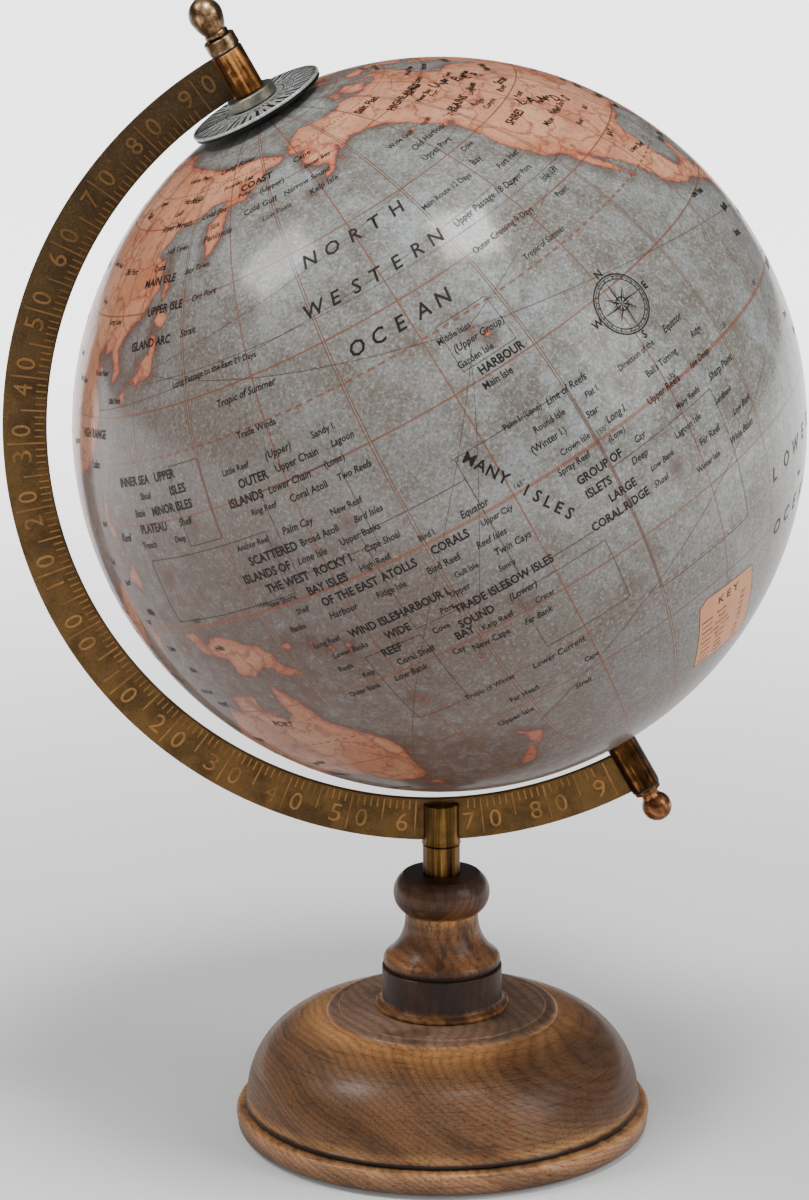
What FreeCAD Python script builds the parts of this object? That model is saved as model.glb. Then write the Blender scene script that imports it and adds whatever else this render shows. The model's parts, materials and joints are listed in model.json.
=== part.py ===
import FreeCAD, Part
import math
import os

# Desktop globe on a turned wooden stand.
# Millimetres. The origin is the middle of the felt's underside, straight below the stem.
# +Z is up, the half-circle arm stands in the XZ plane and the north pole leans to -X.

os.makedirs("parts", exist_ok=True)

Vector = FreeCAD.Vector
UP = Vector(0, 0, 1)

# ---- globe ball ----
GLOBE_DIAMETER = 203.2
AXIS_TILT = 28.5                # degrees between the polar axis and upright
PAPER_THICKNESS = 0.3
SHELL_WALL = 2.4
GORE_COUNT = 12
GORE_SEAM = 0.12                # gap between neighbouring paper gores at the equator
GORE_TURN = -7.0                # degrees from the arm's plane to the first seam
HOOP_WIDTH = 14.0               # inner joining hoop at the equator
HOOP_WALL = 1.8
CAP_RADIUS = 13.0               # black cap on each pole
CAP_TOP = 1.0                   # cap face above the pole
CAP_BORE_CLEARANCE = 0.2
BUSH_RADIUS = 5.0
BUSH_FLANGE_RADIUS = 10.0
BUSH_FLANGE_THICKNESS = 2.2
BUSH_LENGTH = 14.0

# ---- half-circle arm ----
ARM_GAP = 6.9                   # clear gap between the map and the arm
ARM_WIDTH = 12.2
ARM_THICKNESS = 1.8

# ---- polar axle and what is threaded on it ----
AXLE_RADIUS = 2.0
AXLE_RUNNING_CLEARANCE = 0.05
FINIAL_THREAD_LENGTH = 6.0
DIAL_RADIUS = 19.4
DIAL_THICKNESS = 0.9
DIAL_BACKING_THICKNESS = 0.8
DIAL_BACKING_INSET = 0.25
DIAL_FLOAT = 0.25               # free gap on each side of the dial
SPACER_RADIUS = 7.0
BARREL_RADIUS = 4.6
BARREL_OVERHANG = 0.15          # barrel end past the arm's outer edge
BARREL_INNER_OVERHANG = 0.6     # barrel end past the arm's inner edge
SOUTH_BARREL_RADIUS = 4.4
THRUST_WASHER_RADIUS = 4.2
THRUST_WASHER_THICKNESS = 0.8
CAP_RUNNING_GAP = 0.15
LOCK_WASHER_RADIUS = 4.2
LOCK_WASHER_THICKNESS = 0.6

# ---- finials ----
NORTH_COLLAR_RADIUS = 4.55
NORTH_COLLAR_LENGTH = 3.6
NORTH_NECK_WALL = 1.1           # metal round the axle's hole in the neck
NORTH_NECK_LENGTH = 1.8
NORTH_ACORN_RADIUS = 4.7
NORTH_ACORN_LENGTH = 10.4
NORTH_TIP_RADIUS = 0.9
SOUTH_COLLAR_RADIUS = 3.9
SOUTH_COLLAR_LENGTH = 1.2
SOUTH_NECK_WALL = 0.5
SOUTH_BALL_RADIUS = 4.2
SOUTH_NECK_LENGTH = 2.2

# ---- stem: the arm's socket over a fixed sleeve, held down by one long tie rod ----
SOCKET_RADIUS = 5.1
SOCKET_FOOT_RADIUS = 5.55
SOCKET_FOOT_HEIGHT = 1.6
SOCKET_FLOOR = 1.15             # metal under the arm's outer edge
SOCKET_RIM_INSET = 1.4          # rim below the arm's inner edge
SOCKET_RIM_WALL = 1.3
SOCKET_RECESS_DEPTH = 4.0
BRASS_BEVEL = 0.3               # bevel on the rims of the brass tubes
SWIVEL_GAP = 0.08
SLEEVE_RADIUS = 5.25
SLEEVE_HEIGHT = 8.8             # part of the sleeve above the wood
SLEEVE_PLUG_LENGTH = 14.0       # part of the sleeve inside the wood
TIE_ROD_RADIUS = 2.5
TIE_ROD_RUNNING_CLEARANCE = 0.08
WOOD_BORE_CLEARANCE = 0.7
NUT_ACROSS_FLATS = 8.0
NUT_THICKNESS = 4.0
ROD_PAST_NUT = 1.6
BASE_WASHER_RADIUS = 8.0
BASE_WASHER_THICKNESS = 1.2
NUT_WASHER_GAP = 0.08

# ---- turned column ----
COLUMN_FOOT_RADIUS = 18.9
COLUMN_FOOT_HEIGHT = 2.9
DRUM_RADIUS = 17.0
DRUM_HEIGHT = 9.4
GROOVE_DEPTH = 0.6
GROOVE_WIDTH = 0.7
SHOULDER_RADIUS = 16.6
FLARE_HEIGHT = 14.8
NECK_RADIUS = 10.3
BEAD_RADIUS = 13.65
BEAD_HEIGHT = 11.0
BEAD_TOP_RADIUS = 10.6
COLUMN_TENON_RADIUS = 9.0
COLUMN_TENON_LENGTH = 10.0
TENON_END_GAP = 0.6

# ---- domed base ----
BASE_RADIUS = 58.9
PLINTH_HEIGHT = 7.1
PLINTH_FOOT_INSET = 3.4         # the plinth narrows towards the table
PLINTH_EDGE_ROUND = 0.9
PLINTH_GROOVE_INSET = 2.7
PLINTH_GROOVE_RISE = 0.5
DOME_HEIGHT = 26.9              # plinth top to the step ring
DOME_FOOT_INSET = 2.6
DOME_LIP_HEIGHT = 1.5
DOME_SIDE_INSET = 5.2           # how far the dome has come in at its side point
DOME_SIDE_SHARE = 0.64          # height of that point, as a share of the dome's height
STEP_RING_RADIUS = 33.0
STEP_RING_WIDTH = 2.6
STEP_RING_HEIGHT = 1.8
DISC_EDGE_WIDTH = 1.4
DISC_RISE = 0.5
DISC_EDGE_ROUND = 0.6
FELT_PROUD = 0.6
FELT_THICKNESS = 2.0
FELT_MARGIN = 6.5               # bare wood round the felt
COUNTERBORE_RADIUS = 10.5
COUNTERBORE_DEPTH = 11.4        # from the wood's underside

# ---- places worked out from the sizes above ----
GLOBE_RADIUS = GLOBE_DIAMETER / 2
SHELL_RADIUS = GLOBE_RADIUS - PAPER_THICKNESS
SHELL_INNER = SHELL_RADIUS - SHELL_WALL
ARM_INNER = GLOBE_RADIUS + ARM_GAP
ARM_OUTER = ARM_INNER + ARM_WIDTH
PLINTH_FOOT_RADIUS = BASE_RADIUS - PLINTH_FOOT_INSET
FELT_RADIUS = PLINTH_FOOT_RADIUS - FELT_MARGIN
PLINTH_TOP = FELT_PROUD + PLINTH_HEIGHT
DOME_TOP = PLINTH_TOP + DOME_HEIGHT
DISC_TOP = DOME_TOP + STEP_RING_HEIGHT + DISC_RISE
DRUM_TOP = DISC_TOP + COLUMN_FOOT_HEIGHT + DRUM_HEIGHT
FLARE_TOP = DRUM_TOP + GROOVE_WIDTH + FLARE_HEIGHT
COLUMN_TOP = FLARE_TOP + BEAD_HEIGHT + GROOVE_WIDTH
SLEEVE_TOP = COLUMN_TOP + SLEEVE_HEIGHT
SOCKET_BOTTOM = SLEEVE_TOP + SWIVEL_GAP
ARM_BOTTOM = SOCKET_BOTTOM + SOCKET_FLOOR
GLOBE_CENTRE = Vector(0, 0, ARM_BOTTOM + ARM_OUTER)
SOCKET_TOP = ARM_BOTTOM + ARM_WIDTH - SOCKET_RIM_INSET
WASHER_SEAT = FELT_PROUD + COUNTERBORE_DEPTH
NUT_TOP = WASHER_SEAT - BASE_WASHER_THICKNESS - NUT_WASHER_GAP
ROD_BOTTOM = NUT_TOP - NUT_THICKNESS - ROD_PAST_NUT
ROD_TOP = SOCKET_TOP - SOCKET_RECESS_DEPTH
NORTH = Vector(-math.sin(math.radians(AXIS_TILT)), 0, math.cos(math.radians(AXIS_TILT)))
SOUTH = NORTH * -1
CAP_FACE = GLOBE_RADIUS + CAP_TOP
DIAL_BOTTOM = CAP_FACE + DIAL_FLOAT
DIAL_FACE = DIAL_BOTTOM + DIAL_BACKING_THICKNESS + DIAL_THICKNESS
SPACER_BOTTOM = DIAL_FACE + DIAL_FLOAT
BARREL_BOTTOM = ARM_INNER - BARREL_INNER_OVERHANG
BARREL_TOP = ARM_OUTER + BARREL_OVERHANG
FINIAL_SEAT = BARREL_TOP + LOCK_WASHER_THICKNESS
NORTH_NECK_RADIUS = AXLE_RADIUS + NORTH_NECK_WALL
SOUTH_NECK_RADIUS = AXLE_RADIUS + SOUTH_NECK_WALL
THRUST_WASHER_FACE = CAP_FACE + CAP_RUNNING_GAP
SOUTH_BARREL_BOTTOM = THRUST_WASHER_FACE + THRUST_WASHER_THICKNESS


def revolve(edges):
    """Turn a closed outline in the XZ plane about the Z axis."""
    face = Part.Face(Part.Wire(edges))
    return tidy(face.revolve(Vector(0, 0, 0), UP, 360))


def tidy(shape):
    """Return one clean solid, or a compound where there are several."""
    shape = shape.removeSplitter()
    solids = shape.Solids
    if len(solids) == 1:
        return solids[0]
    return Part.makeCompound(solids)


def point(radius, height):
    return Vector(radius, 0, height)


def outline(*steps):
    """Edges through the steps: a pair is a corner, a pair of pairs is an arc (through, end)."""
    edges = []
    here = point(*steps[0])
    first = here
    for step in steps[1:]:
        if isinstance(step[0], tuple):
            through = point(*step[0])
            end = point(*step[1])
            edges.append(Part.Arc(here, through, end).toShape())
        else:
            end = point(*step)
            edges.append(Part.LineSegment(here, end).toShape())
        here = end
    edges.append(Part.LineSegment(here, first).toShape())
    return edges


def tube(outer, inner, bottom, top):
    """A plain ring or tube about the Z axis."""
    body = Part.makeCylinder(outer, top - bottom, Vector(0, 0, bottom))
    return body.cut(Part.makeCylinder(inner, top - bottom, Vector(0, 0, bottom)))


def on_axis(shape, direction):
    """Put a shape made along +Z from the globe's centre on the polar axis, towards one pole."""
    turned = shape.copy()
    if direction.z < 0:
        turned.rotate(Vector(0, 0, 0), Vector(0, 1, 0), 180)
    turned.rotate(Vector(0, 0, 0), Vector(0, 1, 0), -AXIS_TILT)
    turned.translate(GLOBE_CENTRE)
    return turned


def bevel_rims(body, least_radius):
    """Bevel the round edges wider than a radius on a tube that still stands along Z."""
    rims = [edge for edge in body.Edges
            if edge.BoundBox.ZLength < 1e-6 and edge.BoundBox.XLength > 2 * least_radius]
    return body.makeChamfer(BRASS_BEVEL, rims)


# ---- wooden stand ----

def base_dome():
    """Domed base: rounded plinth, groove, dome, step ring and a raised flat disc."""
    foot = FELT_PROUD
    lip_radius = BASE_RADIUS - DOME_FOOT_INSET
    groove_radius = BASE_RADIUS - PLINTH_GROOVE_INSET
    groove_height = PLINTH_TOP + PLINTH_GROOVE_RISE
    edge = PLINTH_EDGE_ROUND
    ring_inner = STEP_RING_RADIUS - STEP_RING_WIDTH
    disc_radius = ring_inner - DISC_EDGE_WIDTH
    dome_side = (lip_radius - DOME_SIDE_INSET, PLINTH_TOP + DOME_SIDE_SHARE * DOME_HEIGHT)
    steps = [
        (0, foot),
        (PLINTH_FOOT_RADIUS, foot),
        ((BASE_RADIUS - 0.3 * PLINTH_FOOT_INSET, foot + 0.14 * PLINTH_HEIGHT),
         (BASE_RADIUS - 0.1 * PLINTH_FOOT_INSET, foot + 0.4 * PLINTH_HEIGHT)),
        (BASE_RADIUS, PLINTH_TOP - 2 * edge),
        ((BASE_RADIUS - 0.2 * edge, PLINTH_TOP - edge), (BASE_RADIUS - edge, PLINTH_TOP)),
        (groove_radius, groove_height),
        ((lip_radius, groove_height + 0.3 * DOME_LIP_HEIGHT),
         (lip_radius - 0.2, groove_height + DOME_LIP_HEIGHT)),
        (dome_side, (STEP_RING_RADIUS, DOME_TOP)),
        ((STEP_RING_RADIUS - 0.2 * STEP_RING_WIDTH, DOME_TOP + 0.8 * STEP_RING_HEIGHT),
         (ring_inner, DOME_TOP + STEP_RING_HEIGHT)),
        (disc_radius + DISC_EDGE_ROUND, DISC_TOP - DISC_EDGE_ROUND / 4),
        (disc_radius, DISC_TOP),
        (0, DISC_TOP),
    ]
    dome = revolve(outline(*steps))
    rod_bore = Part.makeCylinder(TIE_ROD_RADIUS + WOOD_BORE_CLEARANCE, DISC_TOP)
    counterbore = Part.makeCylinder(COUNTERBORE_RADIUS, WASHER_SEAT)
    felt_recess = Part.makeCylinder(FELT_RADIUS, FELT_THICKNESS)
    mortise_depth = COLUMN_TENON_LENGTH + TENON_END_GAP
    mortise = Part.makeCylinder(COLUMN_TENON_RADIUS, mortise_depth, Vector(0, 0, DISC_TOP - mortise_depth))
    for cutter in (rod_bore, counterbore, felt_recess, mortise):
        dome = dome.cut(cutter)
    return tidy(dome)


def column():
    """Turned column: foot ring, drum, groove, concave flare, neck and a round bead on top."""
    foot_top = DISC_TOP + COLUMN_FOOT_HEIGHT
    groove_top = DRUM_TOP + GROOVE_WIDTH
    neck_top = FLARE_TOP + GROOVE_WIDTH
    shoulder = (SHOULDER_RADIUS - 1.3, groove_top + 0.2 * FLARE_HEIGHT)
    steps = [
        (0, DISC_TOP - COLUMN_TENON_LENGTH),
        (COLUMN_TENON_RADIUS, DISC_TOP - COLUMN_TENON_LENGTH),
        (COLUMN_TENON_RADIUS, DISC_TOP),
        (COLUMN_FOOT_RADIUS - 0.4, DISC_TOP),
        ((COLUMN_FOOT_RADIUS, DISC_TOP + 0.3 * COLUMN_FOOT_HEIGHT),
         (COLUMN_FOOT_RADIUS - 0.8, DISC_TOP + 0.55 * COLUMN_FOOT_HEIGHT)),
        ((DRUM_RADIUS + 0.35, DISC_TOP + 0.72 * COLUMN_FOOT_HEIGHT), (DRUM_RADIUS, foot_top)),
        (DRUM_RADIUS, DRUM_TOP),
        (SHOULDER_RADIUS - GROOVE_DEPTH, DRUM_TOP + GROOVE_WIDTH / 2),
        (SHOULDER_RADIUS, groove_top),
        ((SHOULDER_RADIUS - 0.1, groove_top + 0.1 * FLARE_HEIGHT), shoulder),
        ((NECK_RADIUS + 1.4, groove_top + 0.52 * FLARE_HEIGHT), (NECK_RADIUS, FLARE_TOP)),
        (NECK_RADIUS + 0.5, neck_top),
        ((BEAD_RADIUS, neck_top + 0.5 * BEAD_HEIGHT), (BEAD_TOP_RADIUS, COLUMN_TOP)),
        (0, COLUMN_TOP),
    ]
    turned = revolve(outline(*steps))
    bore_bottom = DISC_TOP - COLUMN_TENON_LENGTH
    rod_bore = Part.makeCylinder(TIE_ROD_RADIUS + WOOD_BORE_CLEARANCE, COLUMN_TOP - bore_bottom,
                                 Vector(0, 0, bore_bottom))
    plug_hole = Part.makeCylinder(SLEEVE_RADIUS, SLEEVE_PLUG_LENGTH,
                                  Vector(0, 0, COLUMN_TOP - SLEEVE_PLUG_LENGTH))
    return tidy(turned.cut(rod_bore).cut(plug_hole))


def base_felt():
    return Part.makeCylinder(FELT_RADIUS, FELT_THICKNESS)


def base_washer():
    inner = TIE_ROD_RADIUS + WOOD_BORE_CLEARANCE
    return tube(BASE_WASHER_RADIUS, inner, WASHER_SEAT - BASE_WASHER_THICKNESS, WASHER_SEAT)


def stem_sleeve():
    inner = TIE_ROD_RADIUS + TIE_ROD_RUNNING_CLEARANCE
    sleeve = tube(SLEEVE_RADIUS, inner, COLUMN_TOP - SLEEVE_PLUG_LENGTH, SLEEVE_TOP)
    return bevel_rims(sleeve, inner + BRASS_BEVEL)


# ---- stem and arm ----

def tie_rod():
    """Long rod: its forked top straddles the arm and its lower end carries the nut."""
    rod = Part.makeCylinder(TIE_ROD_RADIUS, ROD_TOP - ROD_BOTTOM, Vector(0, 0, ROD_BOTTOM))
    return tidy(rod.cut(arm_band()))


def base_nut():
    corner = NUT_ACROSS_FLATS / math.sqrt(3)
    points = [Vector(corner * math.cos(math.radians(60 * k)), corner * math.sin(math.radians(60 * k)), 0)
              for k in range(6)]
    hexagon = Part.Face(Part.makePolygon(points + points[:1]))
    nut = hexagon.extrude(UP * NUT_THICKNESS)
    nut = nut.cut(Part.makeCylinder(TIE_ROD_RADIUS, NUT_THICKNESS))
    nut.translate(Vector(0, 0, NUT_TOP - NUT_THICKNESS))
    return tidy(nut)


def arm_socket():
    """Slotted sleeve that straddles the arm, with an open recess at its rim."""
    foot_top = SOCKET_BOTTOM + SOCKET_FOOT_HEIGHT
    inner = SOCKET_RADIUS - SOCKET_RIM_WALL
    steps = [
        (TIE_ROD_RADIUS, SOCKET_BOTTOM),
        (SOCKET_FOOT_RADIUS - BRASS_BEVEL, SOCKET_BOTTOM),
        (SOCKET_FOOT_RADIUS, SOCKET_BOTTOM + BRASS_BEVEL),
        ((SOCKET_FOOT_RADIUS - 0.25, foot_top - 0.3), (SOCKET_RADIUS, foot_top + 1.2)),
        (SOCKET_RADIUS, SOCKET_TOP - BRASS_BEVEL),
        (SOCKET_RADIUS - BRASS_BEVEL, SOCKET_TOP),
        (inner, SOCKET_TOP),
        (inner, ROD_TOP),
        (TIE_ROD_RADIUS, ROD_TOP),
    ]
    return tidy(revolve(outline(*steps)).cut(arm_band()))


def arm_ends():
    """Angles from +X towards +Z at which the arm meets the axle rod, north end first."""
    end_angle = math.degrees(math.asin(AXLE_RADIUS / ARM_INNER))
    return 90 + AXIS_TILT + end_angle, 270 + AXIS_TILT - end_angle


def arm_band():
    """Half ring of flat strip about the globe's centre; it stops at the axle rod at both ends."""
    start, end = arm_ends()
    half = ARM_THICKNESS / 2
    middle = (start + end) / 2

    def at(radius, degrees):
        angle = math.radians(degrees)
        return Vector(radius * math.cos(angle), -half, radius * math.sin(angle)) + GLOBE_CENTRE

    edges = [
        Part.Arc(at(ARM_OUTER, start), at(ARM_OUTER, middle), at(ARM_OUTER, end)).toShape(),
        Part.LineSegment(at(ARM_OUTER, end), at(ARM_INNER, end)).toShape(),
        Part.Arc(at(ARM_INNER, end), at(ARM_INNER, middle), at(ARM_INNER, start)).toShape(),
        Part.LineSegment(at(ARM_INNER, start), at(ARM_OUTER, start)).toShape(),
    ]
    band = Part.Face(Part.Wire(edges)).extrude(Vector(0, ARM_THICKNESS, 0))
    rod = on_axis(Part.makeCylinder(AXLE_RADIUS, 2 * ARM_OUTER, Vector(0, 0, -ARM_OUTER)), NORTH)
    return tidy(band.cut(rod))


# ---- polar axle ----

def axle_rod():
    reach = FINIAL_SEAT + FINIAL_THREAD_LENGTH
    return on_axis(Part.makeCylinder(AXLE_RADIUS, 2 * reach, Vector(0, 0, -reach)), NORTH)


def barrel(radius, bottom, direction):
    """Slotted tube brazed over the arm's end, with a fine bevel on its rims."""
    body = bevel_rims(tube(radius, AXLE_RADIUS, bottom, BARREL_TOP), AXLE_RADIUS + BRASS_BEVEL)
    return tidy(on_axis(body, direction).cut(arm_band()))


def dial_spacer():
    spacer = tube(SPACER_RADIUS, AXLE_RADIUS, SPACER_BOTTOM, BARREL_BOTTOM)
    return on_axis(bevel_rims(spacer, AXLE_RADIUS + BRASS_BEVEL), NORTH)


def lock_washer(direction):
    return on_axis(tube(LOCK_WASHER_RADIUS, AXLE_RADIUS, BARREL_TOP, FINIAL_SEAT), direction)


def south_thrust_washer():
    return on_axis(tube(THRUST_WASHER_RADIUS, AXLE_RADIUS, THRUST_WASHER_FACE, SOUTH_BARREL_BOTTOM), SOUTH)


def bored_finial(steps, direction):
    """A turned finial with a blind hole for the end of the axle rod."""
    finial = revolve(outline(*steps))
    hole = Part.makeCylinder(AXLE_RADIUS, FINIAL_THREAD_LENGTH, Vector(0, 0, FINIAL_SEAT))
    return on_axis(tidy(finial.cut(hole)), direction)


def north_finial():
    """Collar, small neck and an acorn that is fattest towards its pointed tip."""
    collar_top = FINIAL_SEAT + NORTH_COLLAR_LENGTH
    neck_top = collar_top + NORTH_NECK_LENGTH
    tip = neck_top + NORTH_ACORN_LENGTH
    fat = neck_top + 0.52 * NORTH_ACORN_LENGTH
    steps = [
        (0, FINIAL_SEAT),
        (NORTH_COLLAR_RADIUS, FINIAL_SEAT),
        (NORTH_COLLAR_RADIUS, collar_top - BRASS_BEVEL),
        (NORTH_COLLAR_RADIUS - BRASS_BEVEL, collar_top),
        (NORTH_NECK_RADIUS, collar_top + 0.2),
        ((NORTH_NECK_RADIUS + 0.35, (collar_top + neck_top) / 2), (NORTH_NECK_RADIUS, neck_top)),
        ((NORTH_ACORN_RADIUS - 0.45, neck_top + 0.26 * NORTH_ACORN_LENGTH), (NORTH_ACORN_RADIUS, fat)),
        ((NORTH_ACORN_RADIUS - 1.35, fat + 0.3 * NORTH_ACORN_LENGTH), (NORTH_TIP_RADIUS, tip - 0.35)),
        (NORTH_TIP_RADIUS - 0.4, tip),
        (0, tip),
    ]
    return bored_finial(steps, NORTH)


def south_finial():
    """Thin collar, a waisted neck and a ball."""
    collar_top = FINIAL_SEAT + SOUTH_COLLAR_LENGTH
    neck_top = collar_top + SOUTH_NECK_LENGTH
    neck_end = SOUTH_NECK_RADIUS + 0.2
    drop = math.sqrt(SOUTH_BALL_RADIUS ** 2 - neck_end ** 2)
    middle = neck_top + drop
    steps = [
        (0, FINIAL_SEAT),
        (SOUTH_COLLAR_RADIUS, FINIAL_SEAT),
        (SOUTH_COLLAR_RADIUS, collar_top),
        (SOUTH_NECK_RADIUS + 0.6, collar_top + 0.2),
        ((SOUTH_NECK_RADIUS, (collar_top + neck_top) / 2 + 0.2), (neck_end, neck_top)),
        ((SOUTH_BALL_RADIUS, middle), (0, middle + SOUTH_BALL_RADIUS)),
    ]
    return bored_finial(steps, SOUTH)


# ---- hour dial ----

def hour_dial():
    inner = AXLE_RADIUS + AXLE_RUNNING_CLEARANCE
    return on_axis(tube(DIAL_RADIUS, inner, DIAL_FACE - DIAL_THICKNESS, DIAL_FACE), NORTH)


def dial_backing():
    inner = AXLE_RADIUS + AXLE_RUNNING_CLEARANCE
    outer = DIAL_RADIUS - DIAL_BACKING_INSET
    return on_axis(tube(outer, inner, DIAL_BOTTOM, DIAL_BOTTOM + DIAL_BACKING_THICKNESS), NORTH)


# ---- globe ball ----

def hemisphere(direction):
    """Hollow half ball with a round hole at its pole for the bush."""
    outer = Part.makeSphere(SHELL_RADIUS, Vector(0, 0, 0), UP, 0, 90, 360)
    inner = Part.makeSphere(SHELL_INNER, Vector(0, 0, 0), UP, 0, 90, 360)
    shell = outer.cut(inner)
    shell = shell.cut(Part.makeCylinder(BUSH_RADIUS, GLOBE_RADIUS + BUSH_LENGTH))
    return on_axis(tidy(shell), direction)


def equator_ring():
    """Hoop inside the ball that joins the two halves; its outside follows the shell."""
    half = HOOP_WIDTH / 2
    block = Part.makeCylinder(SHELL_RADIUS, HOOP_WIDTH, Vector(0, 0, -half))
    hoop = block.common(Part.makeSphere(SHELL_INNER))
    hoop_inner = math.sqrt(SHELL_INNER ** 2 - half ** 2) - HOOP_WALL
    hoop = hoop.cut(Part.makeCylinder(hoop_inner, HOOP_WIDTH, Vector(0, 0, -half)))
    return on_axis(tidy(hoop), NORTH)


def map_gores():
    """The printed map: equal lunes of paper glued side by side on the ball."""
    seam_angle = math.degrees(GORE_SEAM / GLOBE_RADIUS)
    sweep = 360.0 / GORE_COUNT - seam_angle
    polar = math.asin(BUSH_RADIUS / SHELL_RADIUS)

    def at(radius, angle):
        return point(radius * math.sin(angle), radius * math.cos(angle))

    south = math.pi - polar
    edges = [
        Part.Arc(at(GLOBE_RADIUS, polar), at(GLOBE_RADIUS, math.pi / 2), at(GLOBE_RADIUS, south)).toShape(),
        Part.LineSegment(at(GLOBE_RADIUS, south), at(SHELL_RADIUS, south)).toShape(),
        Part.Arc(at(SHELL_RADIUS, south), at(SHELL_RADIUS, math.pi / 2), at(SHELL_RADIUS, polar)).toShape(),
        Part.LineSegment(at(SHELL_RADIUS, polar), at(GLOBE_RADIUS, polar)).toShape(),
    ]
    section = Part.Face(Part.Wire(edges))
    gore = section.revolve(Vector(0, 0, 0), UP, sweep)
    gores = []
    for k in range(GORE_COUNT):
        one = gore.copy()
        one.rotate(Vector(0, 0, 0), UP, GORE_TURN + k * 360.0 / GORE_COUNT)
        gores.append(on_axis(one, NORTH))
    return Part.makeCompound(gores)


def pole_cap(direction):
    """Black cap that lies on the map round the pole and covers the bush."""
    disc = tube(CAP_RADIUS, AXLE_RADIUS + CAP_BORE_CLEARANCE, SHELL_INNER, CAP_FACE)
    disc = disc.cut(Part.makeSphere(GLOBE_RADIUS))
    return on_axis(tidy(disc), direction)


def bush(direction):
    """Flanged bush: the flange hugs the inside of the shell and the axle runs in its bore."""
    stem = Part.makeCylinder(BUSH_RADIUS, BUSH_LENGTH, Vector(0, 0, GLOBE_RADIUS - BUSH_LENGTH))
    stem = stem.common(Part.makeSphere(GLOBE_RADIUS))
    flange = Part.makeCylinder(BUSH_FLANGE_RADIUS, GLOBE_RADIUS).common(Part.makeSphere(SHELL_INNER))
    flange = flange.cut(Part.makeSphere(SHELL_INNER - BUSH_FLANGE_THICKNESS))
    body = stem.fuse(flange)
    body = body.cut(Part.makeCylinder(AXLE_RADIUS + AXLE_RUNNING_CLEARANCE, GLOBE_RADIUS))
    return on_axis(tidy(body), direction)


pieces = {
    "base_dome": base_dome(),
    "base_felt": base_felt(),
    "base_washer": base_washer(),
    "column": column(),
    "stem_sleeve": stem_sleeve(),
    "arm_socket": arm_socket(),
    "meridian_arm": arm_band(),
    "tie_rod": tie_rod(),
    "base_nut": base_nut(),
    "north_barrel": barrel(BARREL_RADIUS, BARREL_BOTTOM, NORTH),
    "south_barrel": barrel(SOUTH_BARREL_RADIUS, SOUTH_BARREL_BOTTOM, SOUTH),
    "axle_rod": axle_rod(),
    "dial_spacer": dial_spacer(),
    "north_lock_washer": lock_washer(NORTH),
    "south_lock_washer": lock_washer(SOUTH),
    "south_thrust_washer": south_thrust_washer(),
    "north_finial": north_finial(),
    "south_finial": south_finial(),
    "hour_dial": hour_dial(),
    "dial_backing": dial_backing(),
    "north_hemisphere": hemisphere(NORTH),
    "south_hemisphere": hemisphere(SOUTH),
    "equator_ring": equator_ring(),
    "map_gores": map_gores(),
    "north_pole_cap": pole_cap(NORTH),
    "south_pole_cap": pole_cap(SOUTH),
    "north_bush": bush(NORTH),
    "south_bush": bush(SOUTH),
}
for name, shape in pieces.items():
    shape.exportStep("parts/" + name + ".step")
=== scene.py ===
import json
import math
import random

import bpy
import numpy as np
from mathutils import Matrix, Vector


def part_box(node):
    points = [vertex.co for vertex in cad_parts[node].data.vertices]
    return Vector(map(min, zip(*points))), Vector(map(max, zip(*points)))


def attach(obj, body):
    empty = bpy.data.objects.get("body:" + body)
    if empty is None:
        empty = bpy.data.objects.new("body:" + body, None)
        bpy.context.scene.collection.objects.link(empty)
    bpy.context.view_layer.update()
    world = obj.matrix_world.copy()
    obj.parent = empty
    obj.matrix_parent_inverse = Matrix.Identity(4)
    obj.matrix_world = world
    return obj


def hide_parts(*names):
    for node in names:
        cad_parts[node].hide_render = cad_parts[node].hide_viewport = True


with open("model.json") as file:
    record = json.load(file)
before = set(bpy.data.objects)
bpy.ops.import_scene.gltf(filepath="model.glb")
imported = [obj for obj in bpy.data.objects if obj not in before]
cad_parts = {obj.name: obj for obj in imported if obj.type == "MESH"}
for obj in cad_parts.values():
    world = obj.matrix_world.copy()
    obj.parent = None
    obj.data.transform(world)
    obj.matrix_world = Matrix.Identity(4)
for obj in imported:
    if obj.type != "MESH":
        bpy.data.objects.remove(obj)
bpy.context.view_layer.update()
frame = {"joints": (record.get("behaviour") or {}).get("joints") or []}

# A desktop globe on a turned stand. Metres, Z up, the half-circle arm in the XZ plane.
# Lengths written as plain numbers below are millimetres until mm() turns them.


def mm(length):
    return length * 0.001


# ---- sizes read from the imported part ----
SPIN = next(joint for joint in frame["joints"] if joint["name"] == "globe_spin")
CENTRE = Vector(SPIN["pos_m"])
POLE = Vector(SPIN["axis"]).normalized()
FRONT = Vector((0, -1, 0))                      # square to the pole, towards the viewer
EAST = POLE.cross(FRONT)
BALL = (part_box("map_gores")[1].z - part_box("map_gores")[0].z) / 2
ARM_OUTER = CENTRE.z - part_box("meridian_arm")[0].z
ARM_WIDTH = mm(12.2)
ARM_INNER = ARM_OUTER - ARM_WIDTH
ARM_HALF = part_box("meridian_arm")[1].y
AXIS_TILT = math.atan2(-POLE.x, POLE.z)
TO_POLE = Matrix.Translation(CENTRE) @ Matrix.Rotation(-AXIS_TILT, 4, "Y")

# ---- camera ----
LOOK_DOWN = math.radians(16.23)
LOOK_SIDE = math.radians(3.6)
CAMERA_ROLL = math.radians(-0.36)
AIM = Vector((mm(-9.96), mm(0.63), mm(156.7)))
DISTANCE = 1.675


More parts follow.
